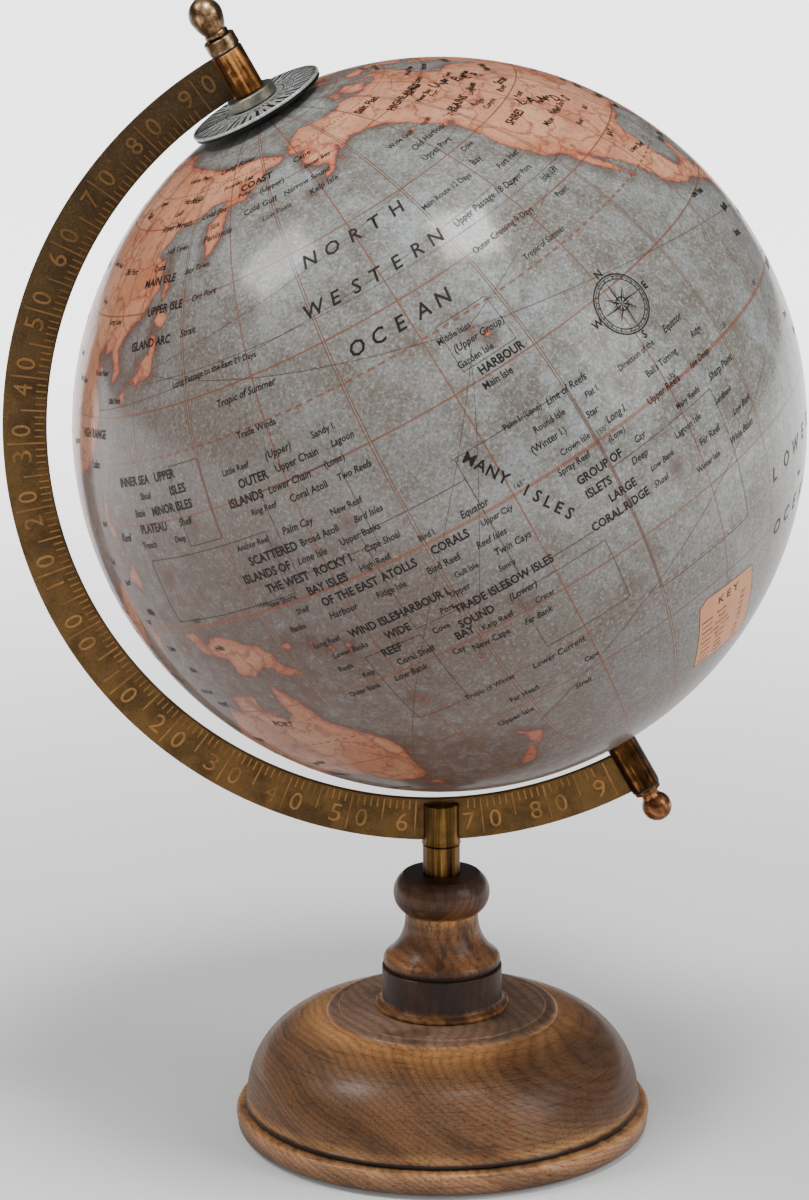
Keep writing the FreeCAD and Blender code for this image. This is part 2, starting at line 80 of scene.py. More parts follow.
def make_camera():
    forward = Vector((math.sin(LOOK_SIDE) * math.cos(LOOK_DOWN),
                      math.cos(LOOK_SIDE) * math.cos(LOOK_DOWN), -math.sin(LOOK_DOWN)))
    level = Vector((math.cos(LOOK_SIDE), -math.sin(LOOK_SIDE), 0))
    upward = level.cross(forward)
    right = math.cos(CAMERA_ROLL) * level + math.sin(CAMERA_ROLL) * upward
    upward = right.cross(forward)
    lens = bpy.data.cameras.new("camera")
    lens.lens = 180
    lens.sensor_width = lens.sensor_height = 36
    lens.sensor_fit = "VERTICAL"
    holder = bpy.data.objects.new("camera", lens)
    bpy.context.scene.collection.objects.link(holder)
    turned = Matrix((right, upward, -forward)).transposed().to_4x4()
    holder.matrix_world = Matrix.Translation(AIM - DISTANCE * forward) @ turned
    bpy.context.scene.camera = holder


# ---- light and floor ----
FLOOR_SIZE = 6


def softbox(name, place, size, power, height=None):
    light = bpy.data.lights.new(name, "AREA")
    light.shape = "RECTANGLE"
    light.size = size
    light.size_y = height or size
    light.energy = power
    holder = bpy.data.objects.new(name, light)
    bpy.context.scene.collection.objects.link(holder)
    to_ball = CENTRE - Vector(place)
    holder.matrix_world = Matrix.Translation(place) @ to_ball.to_track_quat("-Z", "Y").to_matrix().to_4x4()


def make_studio():
    softbox("softbox_left", (-1.05, -0.1, 1.35), 0.4, 15, 0.5)
    softbox("softbox_top", (0.15, -0.42, 1.65), 0.4, 24)
    softbox("softbox_right", (1.4, -0.9, 1.0), 0.7, 17, 1.1)
    softbox("softbox_front", (-0.2, -1.9, 1.2), 1.2, 7)
    world = bpy.data.worlds.new("studio")
    bpy.context.scene.world = world
    world.use_nodes = True
    tree = world.node_tree
    place = tree.nodes.new("ShaderNodeTexCoord")
    split = tree.nodes.new("ShaderNodeSeparateXYZ")
    tree.links.new(place.outputs["Generated"], split.inputs[0])
    ramp = tree.nodes.new("ShaderNodeValToRGB")
    ramp.color_ramp.elements[0].position = 0.0
    ramp.color_ramp.elements[0].color = (0.06, 0.06, 0.06, 1)
    ramp.color_ramp.elements[1].position = 0.9
    ramp.color_ramp.elements[1].color = (0.38, 0.38, 0.39, 1)
    tree.links.new(split.outputs[2], ramp.inputs[0])
    tree.links.new(ramp.outputs[0], tree.nodes["Background"].inputs[0])


# ---- shader writing ----
class Wire:
    """A shader value; arithmetic on it adds Math nodes."""

    def __init__(self, finish, socket):
        self.finish = finish
        self.socket = socket

    def math(self, operation, *others):
        return self.finish.node("ShaderNodeMath", {"operation": operation}, self, *others)

    def __add__(self, other):
        return self.math("ADD", other)

    def __radd__(self, other):
        return self.math("ADD", other)

    def __mul__(self, other):
        return self.math("MULTIPLY", other)

    def __rmul__(self, other):
        return self.math("MULTIPLY", other)

    def __sub__(self, other):
        return self.math("SUBTRACT", other)

    def __rsub__(self, other):
        return self.finish.node("ShaderNodeMath", {"operation": "SUBTRACT"}, other, self)

    def __truediv__(self, other):
        return self.math("DIVIDE", other)

    def __pow__(self, other):
        return self.math("POWER", other)

    def __abs__(self):
        return self.math("ABSOLUTE")

    def above(self, low, high):
        """0 below low, 1 above high, smooth between; with high under low it runs the other way."""
        return self.finish.node("ShaderNodeMapRange", {"interpolation_type": "SMOOTHSTEP"},
                                self, low, high, 0.0, 1.0)


class Finish:
    """A procedural material on one Principled shader."""

    def __init__(self, name, **constants):
        self.material = bpy.data.materials.new(name)
        self.material.use_nodes = True
        self.tree = self.material.node_tree
        self.shader = self.tree.nodes["Principled BSDF"]
        for socket, value in constants.items():
            self.shader.inputs[socket.replace("_", " ")].default_value = value

    def node(self, kind, settings=None, *values, out=0, **named):
        made = self.tree.nodes.new(kind)
        for key, value in (settings or {}).items():
            if key == "stops":
                steps = made.color_ramp.elements
                for number, (position, colour) in enumerate(value):
                    step = steps[number] if number < 2 else steps.new(position)
                    step.position = position
                    step.color = colour
            else:
                setattr(made, key, value)
        for key, value in [*enumerate(values), *named.items()]:
            socket = made.inputs[key if isinstance(key, int) else key.replace("_", " ")]
            if isinstance(value, Wire):
                self.tree.links.new(value.socket, socket)
            elif value is not None:
                socket.default_value = value
        return Wire(self, made.outputs[out])

    def place(self, turn=(0, 0, 0), shift=(0, 0, 0), stretch=(1, 1, 1)):
        """Object coordinates in millimetres: shifted, turned, then stretched."""
        where = self.node("ShaderNodeTexCoord", out=3)
        moved = self.node("ShaderNodeMapping", None, where, [-mm(s) for s in shift])
        turned = self.node("ShaderNodeMapping", None, moved, None, turn)
        return self.node("ShaderNodeMapping", None, turned, None, None, [s * 1000 for s in stretch])

    def noise(self, where, size, detail=3.0, rough=0.5, warp=0.0):
        return self.node("ShaderNodeTexNoise", None, Vector=where, Scale=1 / size,
                         Detail=detail, Roughness=rough, Distortion=warp)

    def mix(self, share, first, second, way="MIX"):
        return self.node("ShaderNodeMix", {"data_type": "RGBA", "blend_type": way}, share,
                         None, None, None, None, None, first, second, out=2)

    def ramp(self, value, *stops):
        return self.node("ShaderNodeValToRGB", {"stops": stops}, value)

    def parts(self, where):
        return [self.node("ShaderNodeSeparateXYZ", None, where, out=axis) for axis in range(3)]

    def bump(self, height, depth, over=None):
        """Bump of that depth in millimetres."""
        return self.node("ShaderNodeBump", None, Strength=1.0, Distance=mm(depth), Height=height,
                         Normal=over)

    def wear(self, **sockets):
        for name, value in sockets.items():
            self.tree.links.new(value.socket, self.shader.inputs[name.replace("_", " ")])
        return self.material


def tint(red, green, blue):
    """A colour swatch, 0 to 255, as a shader colour."""
    def straight(value):
        value /= 255
        return value / 12.92 if value <= 0.04045 else ((value + 0.055) / 1.055) ** 2.4
    return (straight(red), straight(green), straight(blue), 1.0)


make_camera()
make_studio()


# ---- finishes ----
def wood_finish(name, pith, along, burnt, bands, spacing=1.5):
    """Stained turned wood: growth layers round a far pith line, fibres along it, tool rings and burnt patches.

    bands are colours by height in millimetres that the grain is laid over."""
    wood = Finish(name, Coat_Weight=0.2, Coat_Roughness=0.24, Coat_IOR=1.4, Specular_IOR_Level=0.2)
    where = wood.place(turn=along, shift=pith)
    x, y, z = wood.parts(where)
    wander = wood.noise(wood.place(stretch=(0.014, 0.022, 0.022)), 1.0, 1.0, 0.3)
    layer = ((y * y + z * z) ** 0.5 + wander * 16.0) / spacing
    late = abs((layer - layer.math("FLOOR")) * 2 - 1) ** 2.0
    sheet = wood.node("ShaderNodeCombineXYZ", None, layer * (spacing / 9.0), x * 0.012, 0.0)
    broad = wood.noise(sheet, 1.0, 3.0, 0.6)
    fibre = wood.noise(wood.place(turn=along, shift=pith, stretch=(0.06, 1, 1)), 0.55, 5.0, 0.65)
    pore = wood.noise(wood.place(turn=along, shift=pith, stretch=(0.12, 1, 1)), 0.30, 2.0, 0.5)
    tool = wood.noise(wood.place(stretch=(0.03, 0.03, 1)), 0.5, 3.0, 0.6)
    patch = wood.noise(wood.place(stretch=(1, 1, 0.5)), 6.0, 5.0, 0.62, 0.5)
    height = wood.parts(wood.place())[2]
    low, high = bands[0][0], bands[-1][0]
    share = (height + (patch - 0.5) * 0.9 - low) / (high - low)
    colour = wood.ramp(share, *[((at - low) / (high - low), tint(*shade)) for at, shade in bands])
    colour = wood.mix(late * 0.38, colour, tint(128, 92, 62), "MULTIPLY")
    colour = wood.mix(broad.above(0.42, 0.66) * 0.5, colour, tint(92, 66, 46), "MULTIPLY")
    colour = wood.mix(fibre.above(0.44, 0.60) * 0.6, colour, tint(190, 142, 88), "OVERLAY")
    colour = wood.mix(pore.above(0.55, 0.68) * 0.65, colour, tint(64, 40, 24), "MULTIPLY")
    colour = wood.mix(tool.above(0.52, 0.70) * 0.45, colour, tint(84, 54, 34), "MULTIPLY")
    colour = wood.mix(patch.above(0.46, 0.62) * burnt, colour, tint(30, 18, 11))
    grain = fibre * 0.5 + pore * -0.5 + late * 0.15 + tool * 0.3
    rough = 0.38 + fibre * 0.18 + pore * 0.12
    return wood.wear(Base_Color=colour, Roughness=rough, Normal=wood.bump(grain, 0.05))


def brass_finish(name, dark, mid, bright, roughness, lengthwise=(0, 0, 0), streaks=1.0, centre=(0, 0, 0)):
    """Antique brass: dark lacquer patches over a warm base, with streaks that run along the tube; the streaks turn
    from light to dark round the tube, painted reflections and painted shade.
    """
    brass = Finish(name, Metallic=1.0)
    where = brass.place(turn=lengthwise, shift=centre)
    x, y, z = brass.parts(where)
    around = y.math("ARCTAN2", x)
    # painted reflections and shade: light and dark streaks that change round the tube and run along it
    reflection_streak = brass.noise(brass.node("ShaderNodeCombineXYZ", None, around * 2.2, z * 0.012, 3.0), 1.0, 3.0, 0.55)
    cloud = brass.noise(where, 3.4, 4.0, 0.6, 0.3)
    speck = brass.noise(where, 0.35, 3.0, 0.6)
    brush = brass.noise(brass.node("ShaderNodeCombineXYZ", None, around * 30, z * 0.25, 1.0), 1.0, 2.0)
    share = reflection_streak * (0.9 * streaks) + cloud * (1 - 0.9 * streaks)
    colour = brass.ramp(share, (0.36, tint(*dark)), (0.5, tint(*mid)), (0.64, tint(*bright)))
    colour = brass.mix(speck.above(0.60, 0.74) * 0.25, colour, tint(*dark))
    rough = roughness + (1 - share) * 0.2 + speck * 0.08
    return brass.wear(Base_Color=colour, Roughness=rough, Normal=brass.bump(brush * 0.5 + speck, 0.012))


def arm_finish():
    """Darkened brass strip: olive brown, darker towards the top, with fine dirt and rubbed patches."""
    arm = Finish("darkened_strip_brass", Metallic=0.72)
    where = arm.place()
    height = arm.parts(where)[2]
    cloud = arm.noise(where, 9.0, 4.0, 0.55, 0.3)
    grit = arm.noise(where, 0.55, 4.0, 0.7)
    rise = height.above(310, 90)
    colour = arm.mix(rise, tint(52, 37, 13), tint(100, 72, 34))
    colour = arm.mix(cloud.above(0.40, 0.66) * 0.55, colour, tint(36, 25, 9))
    colour = arm.mix(grit.above(0.54, 0.70) * 0.55, colour, tint(18, 12, 5))
    colour = arm.mix(grit.above(0.46, 0.34) * 0.35, colour, tint(112, 80, 40))
    rough = 0.42 + cloud * 0.16 + grit * 0.14
    return arm.wear(Base_Color=colour, Roughness=rough, Normal=arm.bump(grit + cloud * 0.4, 0.03))


def rubbed_mark_finish():
    mark = Finish("rubbed_mark_brass", Metallic=0.8)
    where = mark.place()
    height = mark.parts(where)[2]
    grit = mark.noise(where, 0.5, 4.0, 0.65)
    cloud = mark.noise(where, 7.0, 3.0)
    colour = mark.mix(height.above(320, 100), tint(84, 58, 28), tint(138, 100, 54))
    colour = mark.mix(cloud.above(0.42, 0.62) * 0.5, colour, tint(70, 48, 22))
    colour = mark.mix(grit.above(0.55, 0.7) * 0.5, colour, tint(34, 23, 10))
    return mark.wear(Base_Color=colour, Roughness=0.34 + grit * 0.25, Normal=mark.bump(grit, 0.02))


def spun_metal_finish(name, first, second, roughness, metal=1.0, turn=(0, 0, 0), centre=(0, 0, 0)):
    """Metal faced on a lathe: fine rings about its own axis, with a little tarnish."""
    spun = Finish(name, Metallic=metal)
    where = spun.place(turn=turn, shift=centre)
    x, y, z = spun.parts(where)
    radius = (x * x + y * y) ** 0.5
    rings = spun.noise(spun.node("ShaderNodeCombineXYZ", None, radius * 5, z * 3, 0.0), 1.0, 3.0, 0.7)
    tarnish = spun.noise(where, 4.0, 4.0, 0.6, 0.2)
    speck = spun.noise(where, 0.5, 3.0, 0.6)
    colour = spun.mix(tarnish.above(0.35, 0.68), tint(*first), tint(*second))
    colour = spun.mix(speck.above(0.6, 0.72) * 0.35, colour, tint(60, 56, 48))
    rough = roughness + rings * 0.14 + tarnish * 0.12
    return spun.wear(Base_Color=colour, Roughness=rough, Normal=spun.bump(rings, 0.01))


def dial_finish():
    """Silvered dial: fine radial brushing and a cloudy white bloom."""
    dial = Finish("silvered_dial", Metallic=0.55)
    where = dial.place(turn=(0, AXIS_TILT, 0), shift=[c * 1000 for c in CENTRE])
    x, y, z = dial.parts(where)
    around = y.math("ARCTAN2", x)
    radius = (x * x + y * y) ** 0.5
    brush = dial.noise(dial.node("ShaderNodeCombineXYZ", None, around * 42, radius * 0.12, 0.0), 1.0, 3.0, 0.7)
    bloom = dial.noise(where, 5.0, 4.0, 0.6, 0.4)
    colour = dial.mix(brush.above(0.3, 0.7), tint(128, 128, 126), tint(186, 186, 184))
    colour = dial.mix(bloom.above(0.45, 0.75) * 0.5, colour, tint(104, 102, 98))
    return dial.wear(Base_Color=colour, Roughness=0.3 + brush * 0.2 + bloom * 0.1, Normal=dial.bump(brush, 0.03))


def plain_finish(name, first, second, roughness, size=1.2, depth=0.01, **constants):
    """Paint, plastic, ink or felt: two near shades, a fine grain and uneven gloss."""
    plain = Finish(name, **constants)
    where = plain.place()
    broad = plain.noise(where, size * 6, 3.0)
    fine = plain.noise(where, size, 4.0, 0.65)
    colour = plain.mix(broad * 0.6 + fine * 0.4, tint(*first), tint(*second))
    return plain.wear(Base_Color=colour, Roughness=roughness + fine * 0.12 + broad * 0.06,
                      Normal=plain.bump(fine, depth))


def map_finish():
    """The printed map under varnish. Vertices carry their distance from the coast and their place on the chart."""
    print_ = Finish("printed_map", Coat_Weight=0.45, Coat_Roughness=0.14,
                    Coat_IOR=1.4, IOR=1.35, Specular_IOR_Level=0.3)
    where = print_.place()
    coast = print_.node("ShaderNodeAttribute", {"attribute_name": "coast"}, out=2)
    chart = print_.node("ShaderNodeAttribute", {"attribute_name": "chart"}, out=1)
    across, north, edge = print_.parts(chart)

    broad = print_.noise(where, 42.0, 3.0, 0.5, 0.3)
    cloud = print_.noise(where, 13.0, 4.0, 0.55, 0.3)
    mottle = print_.noise(where, 3.4, 4.0, 0.6)
    speck = print_.noise(where, 0.9, 4.0, 0.7)
    grain = print_.noise(where, 0.42, 2.0, 0.6)
    stain = print_.noise(print_.place(shift=(40, 10, 5)), 20.0, 4.0, 0.55, 0.6)

    ragged = coast + (print_.noise(where, 2.4, 4.0, 0.6) - 0.5) * 1.5 + (speck - 0.5) * 0.35
    land = ragged.above(-0.04, 0.04)
    shore_in = ragged.above(1.2, 0.1) * land
    shore_out = ragged.above(-2.6, 0.0) * (1 - land)
    outline = abs(ragged).above(0.26, 0.08)

    sea = print_.ramp(mottle * 0.45 + cloud * 0.55, (0.28, tint(80, 74, 68)), (0.46, tint(104, 103, 98)),
                      (0.64, tint(128, 134, 134)))
    sea = print_.mix(broad.above(0.42, 0.66) * 0.4, sea, tint(90, 78, 68))
    sea = print_.mix(stain.above(0.54, 0.72) * 0.4, sea, tint(74, 56, 46))
    sea = print_.mix(speck.above(0.50, 0.66) * 0.42, sea, tint(50, 42, 36))
    sea = print_.mix(grain.above(0.52, 0.64) * 0.30, sea, tint(54, 46, 40))
    sea = print_.mix(speck.above(0.48, 0.34) * 0.42, sea, tint(158, 162, 158))
    sea = print_.mix(shore_out * (cloud.above(0.35, 0.6) * 0.75), sea, tint(66, 44, 34))
    x, y, z = print_.parts(where)
    # painted shade: the sea and land grow darker and browner towards the ball's lower left
    shade_lower_left = (x * -0.45 + z * -0.85 + cloud * 60).above(-200, -80)
    sea = print_.mix(shade_lower_left * (mottle.above(0.30, 0.62) * 0.4 + 0.45), sea, tint(70, 45, 33))

    drift = print_.node("ShaderNodeTexNoise", None, Vector=where, Scale=1 / 5.0, Detail=3.0, out=1)
    drift = print_.node("ShaderNodeVectorMath", {"operation": "SCALE"}, drift, Scale=9.0)
    wavy = print_.node("ShaderNodeVectorMath", {"operation": "ADD"}, where, drift)
    county = print_.node("ShaderNodeTexVoronoi", {"feature": "DISTANCE_TO_EDGE"},
                         Vector=wavy, Scale=1 / 13.0)
    region = print_.node("ShaderNodeTexVoronoi", None, Vector=wavy, Scale=1 / 13.0, out=1)
    region_red = print_.parts(region)[0]
    ground = print_.ramp(mottle * 0.4 + cloud * 0.6, (0.32, tint(140, 92, 70)), (0.5, tint(174, 126, 98)),
                         (0.66, tint(188, 142, 110)))
    ground = print_.mix(region_red * 0.35, ground, tint(174, 104, 72))
    ground = print_.mix(stain.above(0.50, 0.68) * 0.6, ground, tint(146, 84, 50))
    ground = print_.mix(mottle.above(0.52, 0.66) * 0.5, ground, tint(112, 76, 56))
    ground = print_.mix(county.above(0.05, 0.015) * 0.55, ground, tint(110, 40, 24))
    ground = print_.mix(speck.above(0.50, 0.66) * 0.4, ground, tint(92, 50, 34))
    ground = print_.mix(shore_in * (cloud.above(0.3, 0.6) * 0.5 + 0.15), ground, tint(150, 62, 44))

    colour = print_.mix(land, sea, ground)
    # painted shade on the land towards the ball's lower left
    colour = print_.mix(shade_lower_left * (land * 0.45), colour, tint(84, 44, 26))
    colour = print_.mix(outline * 0.5, colour, tint(74, 34, 22))

    line = tint(96, 52, 30)
    slim = north.math("COSINE")
    meridian = abs(across) * slim

    def parallel(at, width):
        return abs(north - math.radians(at)).above(width, width * 0.35)

    fade = mottle.above(0.2, 0.5) * 0.35 + 0.5
    ruled = meridian.above(0.0032, 0.0012)
    for at in range(-75, 90, 15):
        if at:
            ruled = ruled.math("MAXIMUM", parallel(at, 0.0032))
    dashes = (across * 28).math("FRACT").above(0.62, 0.55)
    for at in (-66.5, -23.5, 23.5, 66.5):
        ruled = ruled.math("MAXIMUM", parallel(at, 0.0040) * dashes)
    colour = print_.mix(ruled * fade, colour, line)
    ticks = (across * 150).math("FRACT").above(0.30, 0.42)
    equator = parallel(0, 0.0062) * (0.45 + 0.55 * ticks)
    colour = print_.mix(equator * 0.85, colour, tint(104, 52, 24))
    pale = edge.above(0.0018, 0.0006) * (cloud.above(0.3, 0.55) * 0.2 + 0.05)
    beside = abs(edge - 0.0036).above(0.0024, 0.0010)
    colour = print_.mix(beside * fade, colour, tint(84, 52, 36))
    colour = print_.mix(pale, colour, tint(140, 132, 122))

    rough = 0.34 + mottle * 0.14 + speck * 0.10
    lift = mottle * 0.35 + speck * 0.2 + edge.above(0.0, 0.006) * -0.6
    return print_.wear(Base_Color=colour, Roughness=rough, Normal=print_.bump(lift, 0.02))


# ---- modelling ----
def start_piece():
    bpy.ops.object.select_all(action="DESELECT")


def shaped(name, place=None, sharp=35):
    """Leaves edit mode, gives the piece its place in its mesh and smooths it; returns the piece."""
    bpy.ops.object.mode_set(mode="OBJECT")
    piece = bpy.context.object
    piece.name = piece.data.name = name
    piece.data.transform(piece.matrix_basis)
    piece.matrix_basis = Matrix()
    if place is not None:
        piece.data.transform(place)
    if sharp:
        bpy.ops.object.shade_smooth_by_angle(angle=math.radians(sharp))
    return piece


def arc(start, through, end, count=8):
    """Points on the circle through three outline points, after start and up to end."""
    (ax, ay), (bx, by), (cx, cy) = start, through, end
    turn = 2 * (ax * (by - cy) + bx * (cy - ay) + cx * (ay - by))
    ux = ((ax * ax + ay * ay) * (by - cy) + (bx * bx + by * by) * (cy - ay) + (cx * cx + cy * cy) * (ay - by)) / turn
    uy = ((ax * ax + ay * ay) * (cx - bx) + (bx * bx + by * by) * (ax - cx) + (cx * cx + cy * cy) * (bx - ax)) / turn
    first, middle, last = (math.atan2(y - uy, x - ux) for x, y in (start, through, end))
    sweep = (last - first) % (2 * math.pi)
    if (middle - first) % (2 * math.pi) > sweep:
        sweep -= 2 * math.pi
    radius = math.hypot(ax - ux, ay - uy)
    return [(ux + radius * math.cos(first + sweep * k / count), uy + radius * math.sin(first + sweep * k / count))
            for k in range(1, count + 1)]


def outline(*steps):
    """Outline points from steps: a pair is a corner, and (through, end) or (through, end, count) is an arc."""
    points = [steps[0]]
    for step in steps[1:]:
        if isinstance(step[0], tuple):
            points += arc(points[-1], *step)
        else:
            points.append(step)
    return points


def turned(name, points, place=None, steps=160, sharp=30):
    """A lathe piece: one point is extruded along the outline (radius, height), then spun about Z."""
    start_piece()
    bpy.ops.mesh.primitive_plane_add(size=mm(1))
    bpy.ops.object.mode_set(mode="EDIT")
    bpy.ops.mesh.merge(type="CENTER")
    here = (0.0, 0.0)
    for number, (radius, height) in enumerate(points):
        step = (mm(radius - here[0]), 0, mm(height - here[1]))
        if number:
            bpy.ops.mesh.extrude_region_move(TRANSFORM_OT_translate={"value": step})
        else:
            bpy.ops.transform.translate(value=step)
        here = (radius, height)
    bpy.ops.mesh.select_all(action="SELECT")
    bpy.ops.mesh.spin(steps=steps, angle=2 * math.pi, center=(0, 0, 0), axis=(0, 0, 1))
    bpy.ops.mesh.select_all(action="SELECT")
    bpy.ops.mesh.remove_doubles(threshold=mm(0.002))
    bpy.ops.mesh.normals_make_consistent(inside=False)
    return shaped(name, place, sharp)


def dress(piece, material, body, slot, *stands_for):
    piece.data.materials.clear()
    piece.data.materials.append(material)
    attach(piece, body)
    if stands_for:
        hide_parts(*stands_for)
    return piece


def join(name, pieces):
    start_piece()
    for piece in pieces:
        piece.select_set(True)
    bpy.context.view_layer.objects.active = pieces[0]
    bpy.ops.object.join()
    joined = bpy.context.object
    joined.name = joined.data.name = name
    return joined


def points_of(piece):
    flat = np.empty(len(piece.data.vertices) * 3)
    piece.data.vertices.foreach_get("co", flat)
    return flat.reshape(-1, 3)


def move_points(piece, places):
    piece.data.vertices.foreach_set("co", np.ascontiguousarray(places, dtype=np.float32).ravel())
    piece.data.update()


# ---- wooden stand ----
WOOD_FOOT = 0.6
FELT_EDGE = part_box("base_felt")[1].x * 1000
BASE_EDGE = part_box("base_dome")[1].x * 1000
DISC_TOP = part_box("base_dome")[1].z * 1000
COLUMN_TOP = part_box("column")[1].z * 1000
COUNTERBORE = (10.5, 12.0)
ROD_HOLE = 3.2
TENON = (9.0, DISC_TOP - 10.0)


def make_base():
    edge = BASE_EDGE
    points = outline(
        (ROD_HOLE, COUNTERBORE[1]), COUNTERBORE, (COUNTERBORE[0], 2.0), (FELT_EDGE, 2.0),
        (FELT_EDGE, WOOD_FOOT), (edge - 3.9, WOOD_FOOT),
        ((edge - 3.5, WOOD_FOOT + 0.1), (edge - 3.0, WOOD_FOOT + 0.4), 3),
        ((edge - 1.1, 1.6), (edge - 0.36, 3.4), 8), (edge - 0.05, 5.6),
        ((edge - 0.05, 6.5), (edge - 0.45, 7.3), 5), ((edge - 0.9, 7.65), (edge - 1.6, 7.75), 4),
        (edge - 2.5, 8.0), (edge - 2.9, 8.15), (edge - 2.85, 8.35),
        ((edge - 2.55, 8.75), (edge - 2.75, 9.6), 6), (edge - 3.0, 9.95), (edge - 3.1, 10.05),
        ((edge - 7.9, 24.9), (33.1, 34.55), 48), (32.95, 34.6),
        ((32.6, 35.9), (30.7, 36.38), 8), (30.2, 36.42), (29.9, 36.45),
        ((29.6, 36.5), (29.5, 36.7), 3), ((29.35, 36.85), (29.0, DISC_TOP), 3), (TENON[0], DISC_TOP),
        TENON, (ROD_HOLE, TENON[1]), (ROD_HOLE, COUNTERBORE[1]))
    return turned("wooden_base", points, steps=224)


def make_column():
    points = outline(
        (ROD_HOLE, TENON[1] + 0.6), (TENON[0], TENON[1] + 0.6), (TENON[0], DISC_TOP), (18.4, DISC_TOP),
        ((18.92, DISC_TOP + 0.8), (18.1, DISC_TOP + 1.6), 6), ((17.45, DISC_TOP + 2.0), (17.05, DISC_TOP + 2.9), 5),
        (17.0, DISC_TOP + 3.1), (17.0, DISC_TOP + 11.6), ((16.9, DISC_TOP + 12.1), (16.5, DISC_TOP + 12.25), 3),
        (16.0, DISC_TOP + 12.4), (16.0, DISC_TOP + 12.7), (16.45, DISC_TOP + 12.9),
        ((16.5, 51.5), (15.3, 52.9), 8), ((11.7, 57.6), (10.35, 64.3), 18), (10.3, 64.8),
        (10.35, 65.2), (10.85, 65.4), ((13.65, 70.9), (11.1, 76.1), 22), ((10.9, 76.3), (10.6, COLUMN_TOP), 3),
        (5.26, COLUMN_TOP), (5.26, COLUMN_TOP - 14.0), (ROD_HOLE, COLUMN_TOP - 14.0), (ROD_HOLE, TENON[1] + 0.6))
    return turned("wooden_column", points, steps=160)


def make_felt():
    """Felt pad with a soft, slightly uneven edge."""
    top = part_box("base_felt")[1].z * 1000
    points = outline((0, 0.0), (FELT_EDGE - 1.2, 0.0), ((FELT_EDGE - 0.4, 0.2), (FELT_EDGE - 0.05, 0.8), 6),
                     (FELT_EDGE - 0.02, top - 0.1), (FELT_EDGE - 0.2, top), (0, top))
    felt = turned("felt_pad", points, steps=200)
    places = points_of(felt)
    around = np.arctan2(places[:, 1], places[:, 0])
    out = np.hypot(places[:, 0], places[:, 1])
    uneven = 1 - 0.0022 * (np.sin(37 * around) ** 2 + np.sin(83 * around + 1.0) ** 2) * (out > mm(FELT_EDGE - 2))
    places[:, :2] *= uneven[:, None]
    move_points(felt, places)
    return felt


# ---- half-circle arm ----
ARM_START = math.degrees(math.pi / 2 + AXIS_TILT + math.asin(mm(2.0) / ARM_INNER))
ARM_END = math.degrees(3 * math.pi / 2 + AXIS_TILT - math.asin(mm(2.0) / ARM_INNER))
ARM_EDGE_ROUND = mm(0.28)
MARK_RELIEF = mm(0.16)
SCALE_MIDDLE = 180 + 29.6       # angle of the scale's zero, from +X towards +Z
SCALE_STEP = 0.945              # true degrees per degree of the scale


def make_arm():
    """The flat strip: its section is rounded at the corners and spun along the half circle."""
    start_piece()
    middle = (ARM_INNER + ARM_OUTER) / 2
    bpy.ops.mesh.primitive_plane_add(size=1, location=(middle, 0, 0))
    bpy.ops.object.mode_set(mode="EDIT")
    bpy.ops.transform.resize(value=(ARM_OUTER - ARM_INNER, 2 * ARM_HALF, 1), center_override=(middle, 0, 0))
    bpy.ops.mesh.bevel(offset=ARM_EDGE_ROUND, segments=3, affect="VERTICES")
    bpy.ops.mesh.select_all(action="SELECT")
    bpy.ops.mesh.spin(steps=260, angle=math.radians(ARM_END - ARM_START), center=(0, 0, 0), axis=(0, 1, 0))
    bpy.ops.mesh.select_all(action="DESELECT")
    bpy.ops.mesh.select_non_manifold()
    bpy.ops.mesh.edge_face_add()
    bpy.ops.mesh.select_all(action="SELECT")
    bpy.ops.mesh.normals_make_consistent(inside=False)
    return shaped("arm_strip", Matrix.Translation(CENTRE) @ Matrix.Rotation(-math.radians(ARM_START), 4, "Y"), 40)


def arm_place(radius, degrees, side, upside=False):
    """Matrix that puts a mark drawn flat in XY, its up along +Y, on a face of the arm.

    side is -1 for the front face and +1 for the back. Up points away from the ball, or to it if upside."""
    angle = math.radians(degrees)
    out = Vector((math.cos(angle), 0, math.sin(angle)))
    if upside:
        out = -out
    normal = Vector((0, side, 0))
    across = out.cross(normal)
    turn = Matrix((across, out, normal)).transposed().to_4x4()
    at = Vector((math.cos(angle) * radius, side * ARM_HALF, math.sin(angle) * radius)) + CENTRE
    return Matrix.Translation(at) @ turn


def tick_bar(length, width):
    """A raised tick that tapers to its top, lying along +Y from the origin."""
    start_piece()
    bpy.ops.mesh.primitive_cube_add(size=1)
    bpy.ops.object.mode_set(mode="EDIT")
    bpy.ops.transform.resize(value=(width, length, 2 * MARK_RELIEF))
    bpy.ops.transform.translate(value=(0, length / 2, 0))
    bpy.ops.object.mode_set(mode="OBJECT")
    bar = bpy.context.object
    for vertex in bar.data.vertices:
        if vertex.co.z > 0:
            vertex.co.x *= 0.55
            vertex.co.y = length / 2 + (vertex.co.y - length / 2) * (1 - 0.3 * width / length)
    return bar


def digit_mesh(digit, high, wide):
    """A raised figure with rounded shoulders, centred on the origin."""
    start_piece()
    bpy.ops.object.text_add()
    word = bpy.context.object
    word.data.body = str(digit)
    word.data.align_x = "CENTER"
    word.data.resolution_u = 4
    word.data.size = high / 0.72
    word.data.extrude = MARK_RELIEF * 0.6
    word.data.bevel_depth = MARK_RELIEF * 0.4
    word.data.bevel_resolution = 1
    word.data.offset = -MARK_RELIEF * 0.25
    bpy.ops.object.convert(target="MESH")
    figure = bpy.context.object
    places = points_of(figure)
    low, top = places.min(0), places.max(0)
    places = places - (low + top) / 2
    places[:, 0] *= wide / (top[0] - low[0]) if digit != 1 else high / (top[1] - low[1])
    places[:, 1] *= high / (top[1] - low[1])
    move_points(figure, places)
    return figure


def copied(piece, place):
    twin = piece.copy()
    twin.data = piece.data.copy()
    twin.data.transform(place)
    bpy.context.scene.collection.objects.link(twin)
    return twin


